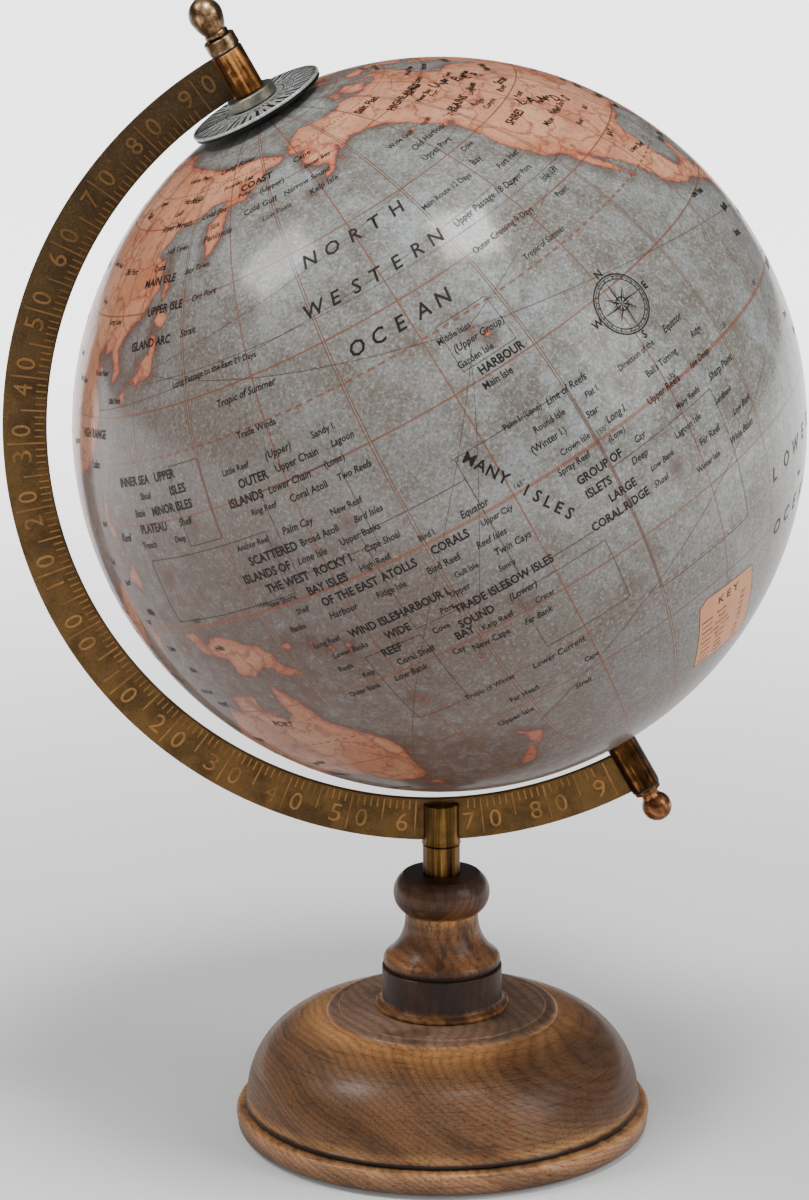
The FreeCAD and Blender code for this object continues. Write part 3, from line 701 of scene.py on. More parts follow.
def make_arm_scale(name, side):
    """Ticks at each degree from pole to pole, and figures either side of each ten-degree line."""
    bars = {10: tick_bar(mm(10.6), mm(0.75)), 5: tick_bar(mm(6.8), mm(0.7)), 1: tick_bar(mm(2.9), mm(0.62))}
    figures = [digit_mesh(digit, mm(5.3), mm(3.3)) for digit in range(10)]
    made = []
    for degree in range(-90, 91):
        at = SCALE_MIDDLE - degree * SCALE_STEP
        if abs(at - 270) < 3.2:
            continue                                # under the socket
        kind = 10 if degree % 10 == 0 else 5 if degree % 5 == 0 else 1
        if abs(degree) > 88 and kind == 1:
            continue                                # under the barrels
        made.append(copied(bars[kind], arm_place(ARM_INNER + mm(0.5), at, side)))
        if kind != 10:
            continue
        south = degree < 0
        tens, ones = (abs(degree) // 10, 0)
        for digit, way in ((tens, -1), (ones, 1)):
            reads = -way if south else way
            turn = reads * (1 if side < 0 else -1)
            angle = at - turn * math.degrees(mm(3.7) / mm(115.7))
            if not ARM_START + 2.6 < angle < ARM_END - 2.6 or abs(angle - 270) < 3.6:
                continue
            made.append(copied(figures[digit], arm_place(mm(115.6), angle, side, upside=south)))
    scale = join(name, made)
    start_piece()
    for spare in [*bars.values(), *figures]:
        spare.select_set(True)
    bpy.ops.object.delete()
    return scale


# ---- hour dial ----
DIAL_EDGE = (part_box("hour_dial")[1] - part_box("hour_dial")[0]).y * 500
DIAL_UNDER = 103.65
DIAL_THICK = 0.9
DIAL_BORE = 2.15


def make_dial():
    under, top, edge = DIAL_UNDER, DIAL_UNDER + DIAL_THICK, DIAL_EDGE
    points = outline(
        (DIAL_BORE, under), (edge - 0.35, under), ((edge - 0.08, under + 0.12), (edge, under + 0.4), 4),
        (edge, top - 0.4), ((edge - 0.08, top - 0.12), (edge - 0.3, top), 4), (9.3, top), (9.15, top - 0.1),
        (8.95, top - 0.1), (8.8, top), (DIAL_BORE, top), (DIAL_BORE, under))
    return turned("silvered_dial", points, TO_POLE, steps=160, sharp=25)


def flat_bar(length, width, taper=1.0, lift=0.05):
    """A thin inked bar along +Y from the origin, its outer end wider or narrower by taper."""
    start_piece()
    bpy.ops.mesh.primitive_cube_add(size=1)
    bpy.ops.object.mode_set(mode="EDIT")
    bpy.ops.transform.resize(value=(mm(width), mm(length), mm(2 * lift)))
    bpy.ops.transform.translate(value=(0, mm(length / 2), 0))
    bpy.ops.object.mode_set(mode="OBJECT")
    bar = bpy.context.object
    for vertex in bar.data.vertices:
        if vertex.co.y > mm(length / 2):
            vertex.co.x *= taper
    return bar


def make_dial_marks():
    """Hour figures, radial hour and quarter marks and two fine circles, in black on the dial's face."""
    top = DIAL_UNDER + DIAL_THICK
    bars = [flat_bar(1.2, 0.2), flat_bar(4.4, 0.6, 1.3), flat_bar(6.4, 0.85, 1.35)]
    made = []
    for quarter in range(96):
        kind = 2 if quarter % 4 == 0 else 1 if quarter % 2 == 0 else 0
        start = DIAL_EDGE - 0.4 - (1.2, 4.4, 6.4)[kind]
        turn = Matrix.Rotation(math.radians(quarter * 3.75), 4, "Z")
        made.append(copied(bars[kind], turn @ Matrix.Translation((0, mm(start), mm(top)))))
    for hour in range(24):
        figure = text_mesh(str(hour % 12 or 12), mm(1.7), thick=0.03)
        turn = Matrix.Rotation(math.radians(-hour * 15), 4, "Z")
        figure.data.transform(TO_POLE @ turn @ Matrix.Translation((0, mm(10.6), mm(top + 0.05))))
        made.append(figure)
    for number, _ in enumerate(made):
        if number < 96:
            made[number].data.transform(TO_POLE)
    for radius in (12.0, 9.0):
        ring = [(radius - 0.12, top), (radius + 0.12, top), (radius + 0.1, top + 0.05), (radius - 0.1, top + 0.05),
                (radius - 0.12, top)]
        made.append(turned("ring", ring, TO_POLE, steps=120, sharp=0))
    marks = join("dial_marks", made)
    start_piece()
    for spare in bars:
        spare.select_set(True)
    bpy.ops.object.delete()
    return marks


# ---- lettering ----
def text_mesh(body, high, thick=0.0, slant=0.0, pitch=1.0, wide=1.0):
    """Flat word centred on the origin, its capitals that high; pitch spreads the letters."""
    start_piece()
    bpy.ops.object.text_add()
    word = bpy.context.object
    word.data.body = body
    word.data.align_x = "CENTER"
    word.data.resolution_u = 2
    word.data.size = high / 0.72
    word.data.offset = thick * word.data.size
    word.data.shear = slant
    word.data.space_character = pitch
    word.data.space_line = 1.0
    bpy.ops.object.convert(target="MESH")
    word = bpy.context.object
    places = points_of(word)
    if len(places):
        places = places - (places.min(0) + places.max(0)) / 2
        places[:, 0] *= wide
        move_points(word, places)
    return word


# ---- the chart on the ball ----
CHART_TURN = 187.0        # chart longitude of the meridian that faces the viewer
GORE_COUNT = 12
GORE_SPAN = 360.0 / GORE_COUNT
SHEET = mm(0.28)
PAPER_EDGE = math.degrees(math.asin(mm(5.0) / BALL))
LATITUDE_STRETCH = 4.5    # degrees by which the printed middle latitudes lie nearer the poles


def printed_latitude(north):
    """Chart latitude, in degrees, of a latitude on the ball."""
    chart = np.array(north, dtype=float)
    for _ in range(12):
        chart = north - LATITUDE_STRETCH * np.sin(2 * np.radians(chart))
    return chart


def chart_frame(east, north):
    """Outward, eastward and northward directions at a chart place given in degrees."""
    turn = math.radians(east - CHART_TURN)
    rise = math.radians(north + LATITUDE_STRETCH * math.sin(2 * math.radians(north)))
    level = math.cos(turn) * FRONT + math.sin(turn) * EAST
    out = math.cos(rise) * level + math.sin(rise) * POLE
    eastward = (math.cos(turn) * EAST - math.sin(turn) * FRONT)
    return out, eastward, out.cross(eastward)


def on_ball(piece, east, north, turn=0.0, lift=0.06, down=0.0):
    """Wraps a flat piece drawn in degrees round the ball, its origin at a chart place, turned anticlockwise."""
    out, eastward, northward = (np.array(v) for v in chart_frame(east, north))
    cosine, sine = math.cos(math.radians(turn)), math.sin(math.radians(turn))
    along = cosine * eastward + sine * northward
    upward = cosine * northward - sine * eastward
    flat = points_of(piece)
    x, y, z = np.radians(flat[:, 0]), np.radians(flat[:, 1] - down * flat[:, 0] ** 2), flat[:, 2]
    round_ = np.outer(np.cos(x), out) + np.outer(np.sin(x), along)
    ball = np.cos(y)[:, None] * round_ + np.sin(y)[:, None] * upward
    move_points(piece, np.array(CENTRE) + ball * (BALL + mm(lift) + z)[:, None])
    return piece


def word_on_ball(body, east, north, high, turn=0.0, down=0.0, **style):
    return on_ball(text_mesh(body, high, **style), east, north, turn, 0.06, down)


def ring_on_ball(inner, outer, east, north, sides=72):
    start_piece()
    bpy.ops.mesh.primitive_circle_add(vertices=sides, radius=outer)
    bpy.ops.object.mode_set(mode="EDIT")
    bpy.ops.mesh.extrude_region_move()
    bpy.ops.transform.resize(value=(inner / outer, inner / outer, 1))
    bpy.ops.mesh.select_all(action="SELECT")
    bpy.ops.mesh.normals_make_consistent(inside=False)
    bpy.ops.object.mode_set(mode="OBJECT")
    return on_ball(face_up(bpy.context.object), east, north)


def face_up(piece):
    """Turns the faces of a flat piece so that they look along +Z."""
    if sum(face.normal.z for face in piece.data.polygons) < 0:
        start_piece()
        piece.select_set(True)
        bpy.context.view_layer.objects.active = piece
        bpy.ops.object.mode_set(mode="EDIT")
        bpy.ops.mesh.select_all(action="SELECT")
        bpy.ops.mesh.flip_normals()
        bpy.ops.object.mode_set(mode="OBJECT")
    return piece


def fan(points):
    """A flat face through given points in degrees, triangulated."""
    start_piece()
    bpy.ops.mesh.primitive_circle_add(vertices=len(points), radius=1, fill_type="NGON")
    sheet = bpy.context.object
    for vertex, (x, y) in zip(sheet.data.vertices, points):
        vertex.co = (x, y, 0)
    bpy.ops.object.mode_set(mode="EDIT")
    bpy.ops.mesh.select_all(action="SELECT")
    bpy.ops.mesh.quads_convert_to_tris()
    bpy.ops.mesh.subdivide(number_cuts=2)
    bpy.ops.object.mode_set(mode="OBJECT")
    sheet.data.update()
    return face_up(sheet)


COMPASS_AT = (-133.7, 12.3)        # chart longitude and latitude


def make_compass(east, north):
    """Eight-pointed rose in two rings, its points half dark and half bare."""
    made = [ring_on_ball(4.62, 4.86, east, north), ring_on_ball(4.36, 4.46, east, north),
            ring_on_ball(3.86, 4.02, east, north), ring_on_ball(0.95, 1.15, east, north, 40)]
    for point in range(8):
        angle = point * 45
        reach, waist = (3.9, 0.95) if point % 2 == 0 else (2.9, 0.9)
        left = [(0, 0), (waist * math.sin(math.radians(-22.5)), waist * math.cos(math.radians(22.5))), (0, reach)]
        made.append(on_ball(fan(left), east, north, -angle))
        edge = fan([(0.0, reach), (waist * 0.383, waist * 0.924), (waist * 0.383 - 0.09, waist * 0.924),
                    (0.0, reach - 0.3)])
        made.append(on_ball(edge, east, north, -angle))
    for mark in range(32):
        angle = math.radians(mark * 11.25)
        start_piece()
        bpy.ops.mesh.primitive_plane_add(size=1)
        tick = bpy.context.object
        tick.data.transform(Matrix.Rotation(-angle, 4, "Z") @ Matrix.Translation((0, 4.21, 0))
                            @ Matrix.Diagonal((0.10 if mark % 2 else 0.2, 0.42, 1, 1)))
        made.append(on_ball(tick, east, north))
    for letter, angle in zip("NESW", (0, 90, 180, 270)):
        word = text_mesh(letter, 1.25, thick=0.03)
        across, up = 5.6 * math.sin(math.radians(angle)), 5.6 * math.cos(math.radians(angle))
        word.data.transform(Matrix.Translation((across, up, 0)))
        made.append(on_ball(word, east, north))
    return made


# ---- coasts on the chart, (longitude, latitude) in degrees, drawn ----
COASTS = {
    "north_america": [
        (-168, 65.6), (-166, 68.3), (-163, 69.5), (-156.5, 71.3), (-150, 70.5), (-141, 69.6), (-135, 69.2),
        (-128, 70.2), (-124, 69.7), (-115, 68.3), (-108, 68), (-101, 67.8), (-95.5, 68.2), (-94, 71.5),
        (-90.5, 69.5), (-87.5, 68), (-85, 69.3), (-81.5, 69), (-81.3, 67.5), (-86, 66.3), (-88, 64.3), (-93.5, 62),
        (-94.7, 59.5), (-92.5, 57), (-88, 56.5), (-82.3, 55.2), (-82, 52.9), (-80, 51.2), (-78.7, 52.5),
        (-79.3, 54.8), (-76.6, 57), (-78.4, 60), (-77.4, 62.4), (-73.5, 62.3), (-70, 61), (-69.5, 58.9),
        (-66, 58.8), (-64.5, 60.3), (-62, 57.8), (-59.5, 55), (-55.8, 52.5), (-59.5, 50.2), (-66, 50.2),
        (-69, 48.3), (-65, 49.2), (-64.8, 47), (-61, 45.6), (-63.5, 44.6), (-66, 43.6), (-67, 45), (-70.2, 43.6),
        (-70.8, 42), (-70, 41.7), (-74, 40.6), (-74.5, 39.3), (-75.8, 37), (-75.6, 35.3), (-79, 33.3),
        (-81.3, 31.2), (-80.5, 28.3), (-80.2, 25.6), (-81.6, 26), (-82.7, 28.2), (-84.3, 30), (-88, 30.4),
        (-89.5, 29.2), (-94, 29.6), (-97.2, 27.6), (-97.7, 23.5), (-96.3, 19.3), (-94.2, 18.2), (-91, 18.7),
        (-90.3, 21), (-87, 21.5), (-87.7, 18.5), (-88.5, 15.9), (-84, 15.8), (-83.3, 12.5), (-83.6, 10.7),
        (-81.5, 9), (-79.5, 9.5), (-77.3, 8.6), (-78, 7.3), (-80.3, 7.5), (-83, 8.4), (-85.7, 10.1), (-87.6, 13),
        (-92, 14.6), (-95, 16), (-99.5, 16.7), (-104.5, 19.2), (-105.5, 21.5), (-108.5, 25.5), (-112, 28.8),
        (-114.7, 31.6), (-113, 29), (-110.8, 25.5), (-109.5, 23.1), (-112, 25.5), (-114.5, 27.8), (-116, 30.3),
        (-117.3, 33), (-120.6, 34.5), (-122.4, 37.4), (-124.3, 40.4), (-124, 44), (-124.5, 48.3), (-122.6, 48.9),
        (-127.5, 51), (-130.3, 54.5), (-134, 58), (-139.8, 59.7), (-146, 60.8), (-151.5, 59.3), (-152, 61),
        (-154.5, 58.8), (-158.5, 56), (-164.8, 54.6), (-161, 56.3), (-158, 58.2), (-162, 58.8), (-165.5, 61.3),
        (-164.5, 63.2), (-161, 64.4), (-166, 64.5),],
    "greenland": [
        (-46, 60), (-53.5, 66.5), (-51, 69.8), (-55, 71.5), (-61, 76), (-70, 77.5), (-66, 80), (-55, 82),
        (-32, 83.6), (-20, 82), (-19, 78), (-22, 73), (-24.5, 70.2), (-33, 67.5), (-40, 65), (-43, 60.2),],
    "south_america": [
        (-77.3, 8.6), (-75.5, 10.7), (-72, 12.2), (-70, 11.5), (-68, 10.6), (-62, 10.6), (-60, 8.5), (-57, 6),
        (-52, 4.6), (-50, 1), (-48.5, -1), (-44.3, -2.7), (-40, -2.9), (-35.3, -5.2), (-34.9, -8.2),
        (-37.3, -11.3), (-39, -13.5), (-39.2, -17.5), (-41, -21.5), (-43.5, -23), (-48, -25.3), (-48.7, -28.3),
        (-52, -32.8), (-54.5, -34.7), (-58.3, -34.2), (-57, -36.5), (-62, -39), (-65, -41), (-64, -42.5),
        (-67.5, -46), (-66, -48), (-69, -50.5), (-68.5, -52.5), (-65.3, -54.8), (-70, -55.3), (-74, -52),
        (-75.5, -47), (-73.5, -42), (-73.5, -37), (-71.5, -32.5), (-70.4, -25), (-70.3, -18.5), (-76.2, -14),
        (-79.5, -7.5), (-81.2, -5), (-80, -2.7), (-80.5, -0.5), (-78.5, 1.8), (-77.3, 4), (-77.9, 7.2),],
    "africa": [
        (-6, 35.8), (-2, 35.2), (3, 36.9), (10, 37.3), (11, 33.8), (15, 32.3), (20, 30.8), (23, 32.6), (29, 30.9),
        (32.3, 31.2), (34.2, 31.3), (32.6, 29.9), (35.5, 24), (37.3, 20), (39.5, 15.5), (43.2, 12), (44, 10.6),
        (51.2, 11.9), (48, 4.5), (43.5, 0.5), (40.2, -2.7), (39, -6.5), (40.5, -10.7), (40.5, -15.3), (35, -20),
        (35.4, -24), (32.7, -26), (31, -29.8), (27, -33.7), (20, -34.8), (18.3, -33), (15.2, -27), (14.3, -22),
        (11.8, -17.5), (13.6, -11), (12.2, -5.5), (9.2, -1.5), (9.6, 3.7), (6, 4.3), (2, 6.3), (-4, 5.2),
        (-8, 4.4), (-13, 8), (-16.8, 12.5), (-17.5, 14.8), (-16.2, 19), (-16, 23.7), (-13, 27.8), (-9.8, 30),
        (-9.3, 32.5), (-6.2, 35.4),],
    "eurasia": [
        (-9.4, 38.7), (-9, 43.2), (-2, 43.4), (-1.2, 45.5), (-4.6, 48.2), (-1.5, 49.6), (2, 51), (4.5, 52.3),
        (8, 53.8), (8.2, 57), (10.5, 57.7), (10, 55), (12, 54.3), (18.5, 54.7), (21, 56), (24, 57.3), (24, 59.3),
        (29.5, 60), (23, 60), (21.3, 62.5), (25, 65.2), (22, 65.7), (17.5, 61.5), (18.5, 59.5), (16.3, 56.5),
        (14, 55.5), (12.6, 56.5), (10.6, 59.2), (7, 58), (5.2, 61), (10, 64), (14, 67.5), (20, 70), (26, 71.1),
        (31, 70.2), (40.5, 67.3), (38, 66), (34, 66.8), (34.5, 64.4), (38, 64), (40, 64.7), (44, 66.2),
        (44.2, 68.3), (53, 68.3), (60, 69.3), (68, 68.5), (67, 72.5), (72.8, 72.8), (73, 68), (75, 72),
        (80.5, 73.2), (87, 75), (100, 76.5), (104.3, 77.7), (113, 74), (127, 73.4), (140, 72.5), (152, 71),
        (160, 69.7), (170, 69.8), (180, 68.9), (190, 66.1), (187, 64.6), (180, 64.8), (178.5, 62.8), (170, 60),
        (164, 60), (163, 57.5), (162, 55), (160, 53.2), (156.7, 51.1), (155.7, 54.5), (156.5, 57.5), (162, 60.5),
        (163.5, 61.8), (156, 61.6), (149, 59.6), (142.5, 59.2), (135.3, 54.7), (140.5, 53.3), (140.4, 48.5),
        (135.5, 44.3), (131.5, 43), (127.6, 39.8), (129.4, 36.5), (126.5, 34.5), (126.5, 37.5), (124.5, 39.8),
        (121.5, 39), (121.5, 40.8), (118, 39), (119, 37.3), (122.3, 37.2), (119.3, 35), (121.5, 31.8),
        (121.5, 28.5), (119.3, 25.4), (116, 22.9), (110.5, 21.3), (108, 21.6), (106, 19), (109, 13.5), (107, 10.4),
        (105, 8.7), (104.9, 10.5), (102.5, 12.1), (100.8, 13.4), (99.3, 10), (101, 7), (103.4, 4.5), (103.9, 1.4),
        (101.3, 2.9), (98.4, 8), (98.6, 12), (97.6, 16.5), (94.4, 16), (94, 19), (91, 22.5), (87, 21.5),
        (82.3, 16.6), (80.2, 13.3), (79.8, 10.3), (77.6, 8.1), (75, 12), (73, 17), (72.8, 21), (70.5, 20.9),
        (69, 22.3), (66.8, 25), (61.5, 25.2), (57, 26.8), (51.5, 28), (48.5, 30.2), (48.3, 28.3), (50.2, 26.6),
        (51.5, 25), (54, 24.2), (56.3, 26.2), (56.5, 24.5), (59.8, 22.4), (57.7, 18.8), (52.2, 15.7), (45, 12.8),
        (43.3, 13), (42.7, 16.5), (39.2, 21), (36.8, 25.5), (35, 28), (34.9, 29.5), (34.2, 27.8), (32.6, 29.9),
        (32.3, 31.2), (34.2, 31.3), (35.5, 33.5), (36, 36.6), (30.5, 36.5), (27.3, 37), (26.2, 39.3), (29, 41),
        (31.3, 41.3), (35, 42), (41.5, 41.5), (37.5, 44.7), (39, 47), (35.3, 46), (33.5, 44.6), (32.5, 46.2),
        (30.5, 46.3), (28.7, 43.5), (28, 41.5), (26, 40.7), (23.5, 40.3), (23.2, 38), (22.5, 36.6), (19.5, 41),
        (19, 42.3), (13.8, 45), (12.4, 44.5), (16, 41.8), (18.4, 40), (17, 40.4), (16.5, 38.5), (15.7, 38),
        (15.7, 40), (12.5, 41.6), (10.3, 43.5), (8.8, 44.4), (4, 43.4), (3.2, 42), (0, 39.7), (-0.5, 38),
        (-2, 36.8), (-5.5, 36.1), (-8.9, 37.1),],
    "australia": [
        (142.5, -10.8), (145.3, -15), (146.3, -19), (149.5, -22.3), (153.2, -26), (153.5, -29), (151.3, -33.5),
        (150, -37.3), (146.3, -39), (143.5, -38.8), (140, -37.8), (138.3, -35.5), (137.8, -33), (135.5, -34.8),
        (131.2, -31.5), (126, -32.3), (123.5, -33.9), (118, -35), (115, -34.2), (115.8, -31.8), (113.7, -26),
        (114, -22), (118.5, -20.2), (122, -18), (123.8, -16.5), (126.5, -14), (129.5, -15), (131, -12),
        (135.5, -12), (136.9, -12.3), (135.7, -15), (139.3, -17.5), (141, -16.5), (141.7, -12.7),],
    "new_guinea": [
        (131, -0.8), (134, -0.8), (135, -3.3), (138, -1.7), (141, -2.6), (145.5, -4.5), (147.8, -6.2),
        (147.2, -7.5), (150.8, -10.3), (147.5, -10), (144.5, -7.7), (141, -9.1), (138, -8.3), (138, -5.5),
        (133, -4.1), (132.8, -2.8),],
    "borneo": [
        (109, 1.5), (111.3, 2.5), (113, 3.2), (117, 7), (119, 5.2), (117.8, 1), (116.3, -2), (114.5, -4),
        (110.2, -2.9),],
    "sumatra": [
        (95.3, 5.6), (98.5, 3.6), (103.8, 0), (106, -3.2), (105.7, -5.8), (102.3, -4), (98.8, 1),],
    "java": [
        (105.2, -6.7), (108.5, -6.7), (114.4, -7.7), (114.5, -8.7), (108, -7.8),],
    "sulawesi": [
        (119.2, -5.5), (119, -3), (120, 0.8), (125, 1.5), (121, 0.4), (121.3, -1), (123.3, -0.9), (121.5, -2.3),
        (122.8, -4.5), (120.8, -2.9), (120.4, -5.6),],
    "luzon": [
        (120.3, 16), (120.8, 18.5), (122.2, 18.4), (121.6, 15.8), (124, 13), (121, 13.7),],
    "mindanao": [
        (122, 7), (123.5, 8.6), (125.5, 9.8), (126.4, 7), (125.4, 5.7), (124, 6.7),],
    "kyushu": [
        (129.8, 33.2), (131.8, 33.5), (131.3, 31.4), (130.2, 31.2),],
    "honshu": [
        (131, 34.3), (135.5, 35.6), (137, 37.3), (139.5, 38.5), (140, 40.7), (141.4, 41.3), (142, 39.5),
        (140.9, 37), (140.7, 35.6), (138.8, 34.7), (136.8, 34.4), (135.8, 33.5), (135, 34.6),],
    "hokkaido": [
        (140, 41.6), (140.5, 43.3), (141.7, 45.4), (145.3, 43.4), (143.3, 42), (141, 42.4),],
    "sakhalin": [
        (142, 46), (142.3, 50), (142.6, 54.2), (143.5, 49.5), (144.6, 48.9), (143, 46.8),],
    "taiwan": [
        (120.1, 23), (121.6, 25.2), (121, 22),],
    "britain": [
        (-5.3, 50.1), (-3, 53.4), (-5, 54.8), (-5.8, 57.5), (-3.2, 58.6), (-2, 57.5), (-1.5, 55), (0.3, 53),
        (1.7, 52.6), (1.3, 51.2), (-3.5, 50.3),],
    "ireland": [
        (-10, 52), (-9.8, 54.2), (-7.3, 55.3), (-5.7, 54.4), (-6.3, 52.2),],
    "iceland": [
        (-24, 65.5), (-20, 66.2), (-14.6, 65.5), (-14.5, 64.3), (-19, 63.4), (-22.6, 63.9),],
    "madagascar": [
        (49.3, -12.1), (50.4, -15.8), (47.2, -25), (44, -24.8), (43.5, -21.5), (44.4, -16.2), (47, -15),],
    "sri_lanka": [
        (80, 9.5), (81.8, 7), (80.5, 6),],
    "north_zealand": [
        (173, -34.5), (175.5, -36.8), (178.4, -37.7), (177, -39.6), (175.3, -41.5), (174.8, -39.9), (173.8, -39.3),
        (174.8, -37.8),],
    "south_zealand": [
        (172.8, -40.6), (174.2, -41.6), (172.7, -43.7), (170.8, -45.8), (168.4, -46.6), (166.6, -45.8), (170, -43),],
    "tasmania": [
        (144.8, -40.8), (148.3, -41), (147.5, -43.5), (146, -43.5),],
    "cuba": [
        (-84.8, 22), (-80, 23.1), (-74.3, 20.2), (-77.5, 19.9),],
    "hispaniola": [
        (-74.4, 18.5), (-73, 19.9), (-68.4, 18.6), (-71, 18),],
    "newfoundland": [
        (-59.2, 47.7), (-55.5, 51.5), (-53, 47),],
    "baffin": [
        (-62, 66.6), (-68, 70), (-80, 73.7), (-89.5, 73), (-88, 71), (-78, 70), (-73, 68.3), (-72.8, 66),
        (-77, 64.4), (-71, 62.7), (-65, 62),],
    "victoria": [
        (-117, 70), (-115, 73), (-105, 73), (-102, 69.3), (-113, 68.6),],
    "ellesmere": [
        (-90, 76.5), (-92, 81), (-70, 83), (-62, 82.3), (-77, 78), (-80, 76.3),],
    "banks": [
        (-125, 72), (-120, 74.3), (-116, 73), (-122, 71.2),],
    "novaya_zemlya": [
        (52, 71), (56, 73.5), (67, 76.8), (60, 75.6), (57.5, 72), (57, 70.7),],
    "svalbard": [
        (12, 79), (22, 80.4), (27, 80), (20, 78.5), (16, 76.8),],
}

ICE_EDGE = [(-180, -78), (-160, -78), (-150, -77), (-120, -74), (-100, -73), (-75, -73), (-68, -68), (-58, -63.5),
            (-61, -68), (-62, -74), (-45, -78), (-30, -77), (-10, -71), (10, -70), (40, -69), (55, -66.5), (80, -68),
            (100, -66), (130, -66.3), (150, -68.5), (165, -71), (170, -72.5), (180, -78)]
# Small islands: longitude, latitude, radius in degrees.
ISLETS = [(-155.5, 19.6, 0.75), (-157, 20.9, 0.3), (-158, 21.4, 0.4), (-159.5, 22, 0.35), (178, -17.9, 0.8),
          (179, -16.5, 0.6), (165.5, -21.3, 0.9), (164.4, -20.3, 0.5), (160, -9.5, 0.8), (161, -8.4, 0.6),
          (158, -8, 0.6), (155.2, -6.2, 0.9), (151, -5.6, 1.1), (167, -15.4, 0.6), (168.3, -17.6, 0.5),
          (-172.5, -13.6, 0.5), (-170.7, -14.3, 0.3), (-149.4, -17.6, 0.5), (-140, -9.5, 0.4), (-109.4, -27.1, 0.3),
          (144.8, 13.5, 0.4), (134.5, 7.4, 0.3), (158.2, 6.9, 0.3), (171, 7.1, 0.3), (-176.5, 51.8, 0.4),
          (-168, 53.3, 0.6), (-154, 57.4, 0.8), (-132.2, 53.2, 0.8), (-126, 49.7, 1.3), (-80.5, 22, 0.3),
          (-77.3, 18.1, 0.6), (-66.5, 18.2, 0.6), (-91, -0.5, 0.7), (-59, -51.7, 1.1), (55.5, -21.1, 0.5),
          (70, -49.3, 0.8), (-25.5, 37.8, 0.4), (-16.5, 28.2, 0.5), (9, 40, 0.9), (9.2, 42.2, 0.6), (14, 37.5, 0.9),
          (25, 35.2, 0.8), (33, 35, 0.7), (11, 55.5, 0.9), (18.5, 57.5, 0.6), (110, 19.2, 1.1), (119.8, -9.9, 0.6),
          (121.2, -8.6, 1.0), (125.5, -9, 1.0), (128.5, -3.2, 1.1), (128, 0.9, 1.0), (118, -8.6, 0.9), (123, 11, 1.0),
          (118.7, 9.8, 0.7), (54, 12.5, 0.5), (-61.3, 15, 0.4), (-61.3, 10.5, 0.5), (150.5, 46, 0.5), (155.5, 50.2, 0.5)]


def inland(east, north, corners, reach=4.0):
    """Distance inside (positive) or outside (negative) a closed coast, in degrees, never beyond reach."""
    far = np.full(len(east), -reach)
    corners = np.array(corners, dtype=float)
    low, high = corners.min(0), corners.max(0)
    for lap in (-360, 0, 360):
        wide = reach / np.cos(np.radians(np.minimum(np.abs(north) + 1, 84)))
        near = (east + lap > low[0] - wide) & (east + lap < high[0] + wide)
        near &= (north > low[1] - reach) & (north < high[1] + reach)
        if not near.any():
            continue
        x, y = (east + lap)[near][:, None], north[near][:, None]
        ax, ay = corners[:, 0][None], corners[:, 1][None]
        bx, by = np.roll(corners[:, 0], -1)[None], np.roll(corners[:, 1], -1)[None]
        squeeze = np.cos(np.radians(y))
        dx, dy = (bx - ax) * squeeze, by - ay
        px, py = (x - ax) * squeeze, y - ay
        share = np.clip((px * dx + py * dy) / (dx * dx + dy * dy + 1e-9), 0, 1)
        gap = np.sqrt(((px - share * dx) ** 2 + (py - share * dy) ** 2).min(1))
        crossed = ((ay > y) != (by > y)) & (x < (bx - ax) * (y - ay) / np.where(by == ay, 1e-9, by - ay) + ax)
        inside = crossed.sum(1) % 2 == 1
        far[near] = np.maximum(far[near], np.where(inside, np.minimum(gap, reach), -np.minimum(gap, reach)))
    return far


def coast_distance(east, north):
    east = (east + 180) % 360 - 180
    edge = np.array(ICE_EDGE, dtype=float)
    far = np.clip(np.interp(east, edge[:, 0], edge[:, 1]) - north, -4, 4)
    for corners in COASTS.values():
        far = np.maximum(far, inland(east, north, corners))
    for lon, lat, size in ISLETS:
        across = ((east - lon + 180) % 360 - 180) * np.cos(np.radians(north))
        far = np.maximum(far, size * 0.55 - np.hypot(across, north - lat))
    return far


def make_gore():
    """One paper gore from pole to pole, drawn from longitude 0 to 30 about +Z."""
    start_piece()
    bpy.ops.mesh.primitive_plane_add(size=mm(1))
    bpy.ops.object.mode_set(mode="EDIT")
    bpy.ops.mesh.merge(type="CENTER")
    start = math.radians(PAPER_EDGE)
    bpy.ops.transform.translate(value=(BALL * math.sin(start), 0, BALL * math.cos(start)))
    bpy.ops.mesh.select_all(action="SELECT")
    rows, columns = ((270, 44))
    bpy.ops.mesh.spin(steps=rows, angle=math.pi - 2 * start, center=(0, 0, 0), axis=(0, -1, 0))
    bpy.ops.mesh.select_all(action="SELECT")
    bpy.ops.mesh.spin(steps=columns, angle=math.radians(GORE_SPAN), center=(0, 0, 0), axis=(0, 0, -1))
    bpy.ops.mesh.select_all(action="SELECT")
    bpy.ops.mesh.remove_doubles(threshold=mm(0.01))
    bpy.ops.object.mode_set(mode="OBJECT")
    gore = bpy.context.object
    middle = gore.data.polygons[len(gore.data.polygons) // 2]
    if middle.normal.dot(middle.center) < 0:
        start_piece()
        gore.select_set(True)
        bpy.ops.object.mode_set(mode="EDIT")
        bpy.ops.mesh.select_all(action="SELECT")
        bpy.ops.mesh.flip_normals()
        bpy.ops.object.mode_set(mode="OBJECT")
    thick = gore.modifiers.new("paper", "SOLIDIFY")
    thick.thickness = SHEET
    thick.offset = -1
    bpy.ops.object.modifier_apply(modifier="paper")
    bpy.ops.object.shade_smooth_by_angle(angle=math.radians(40))
    return gore


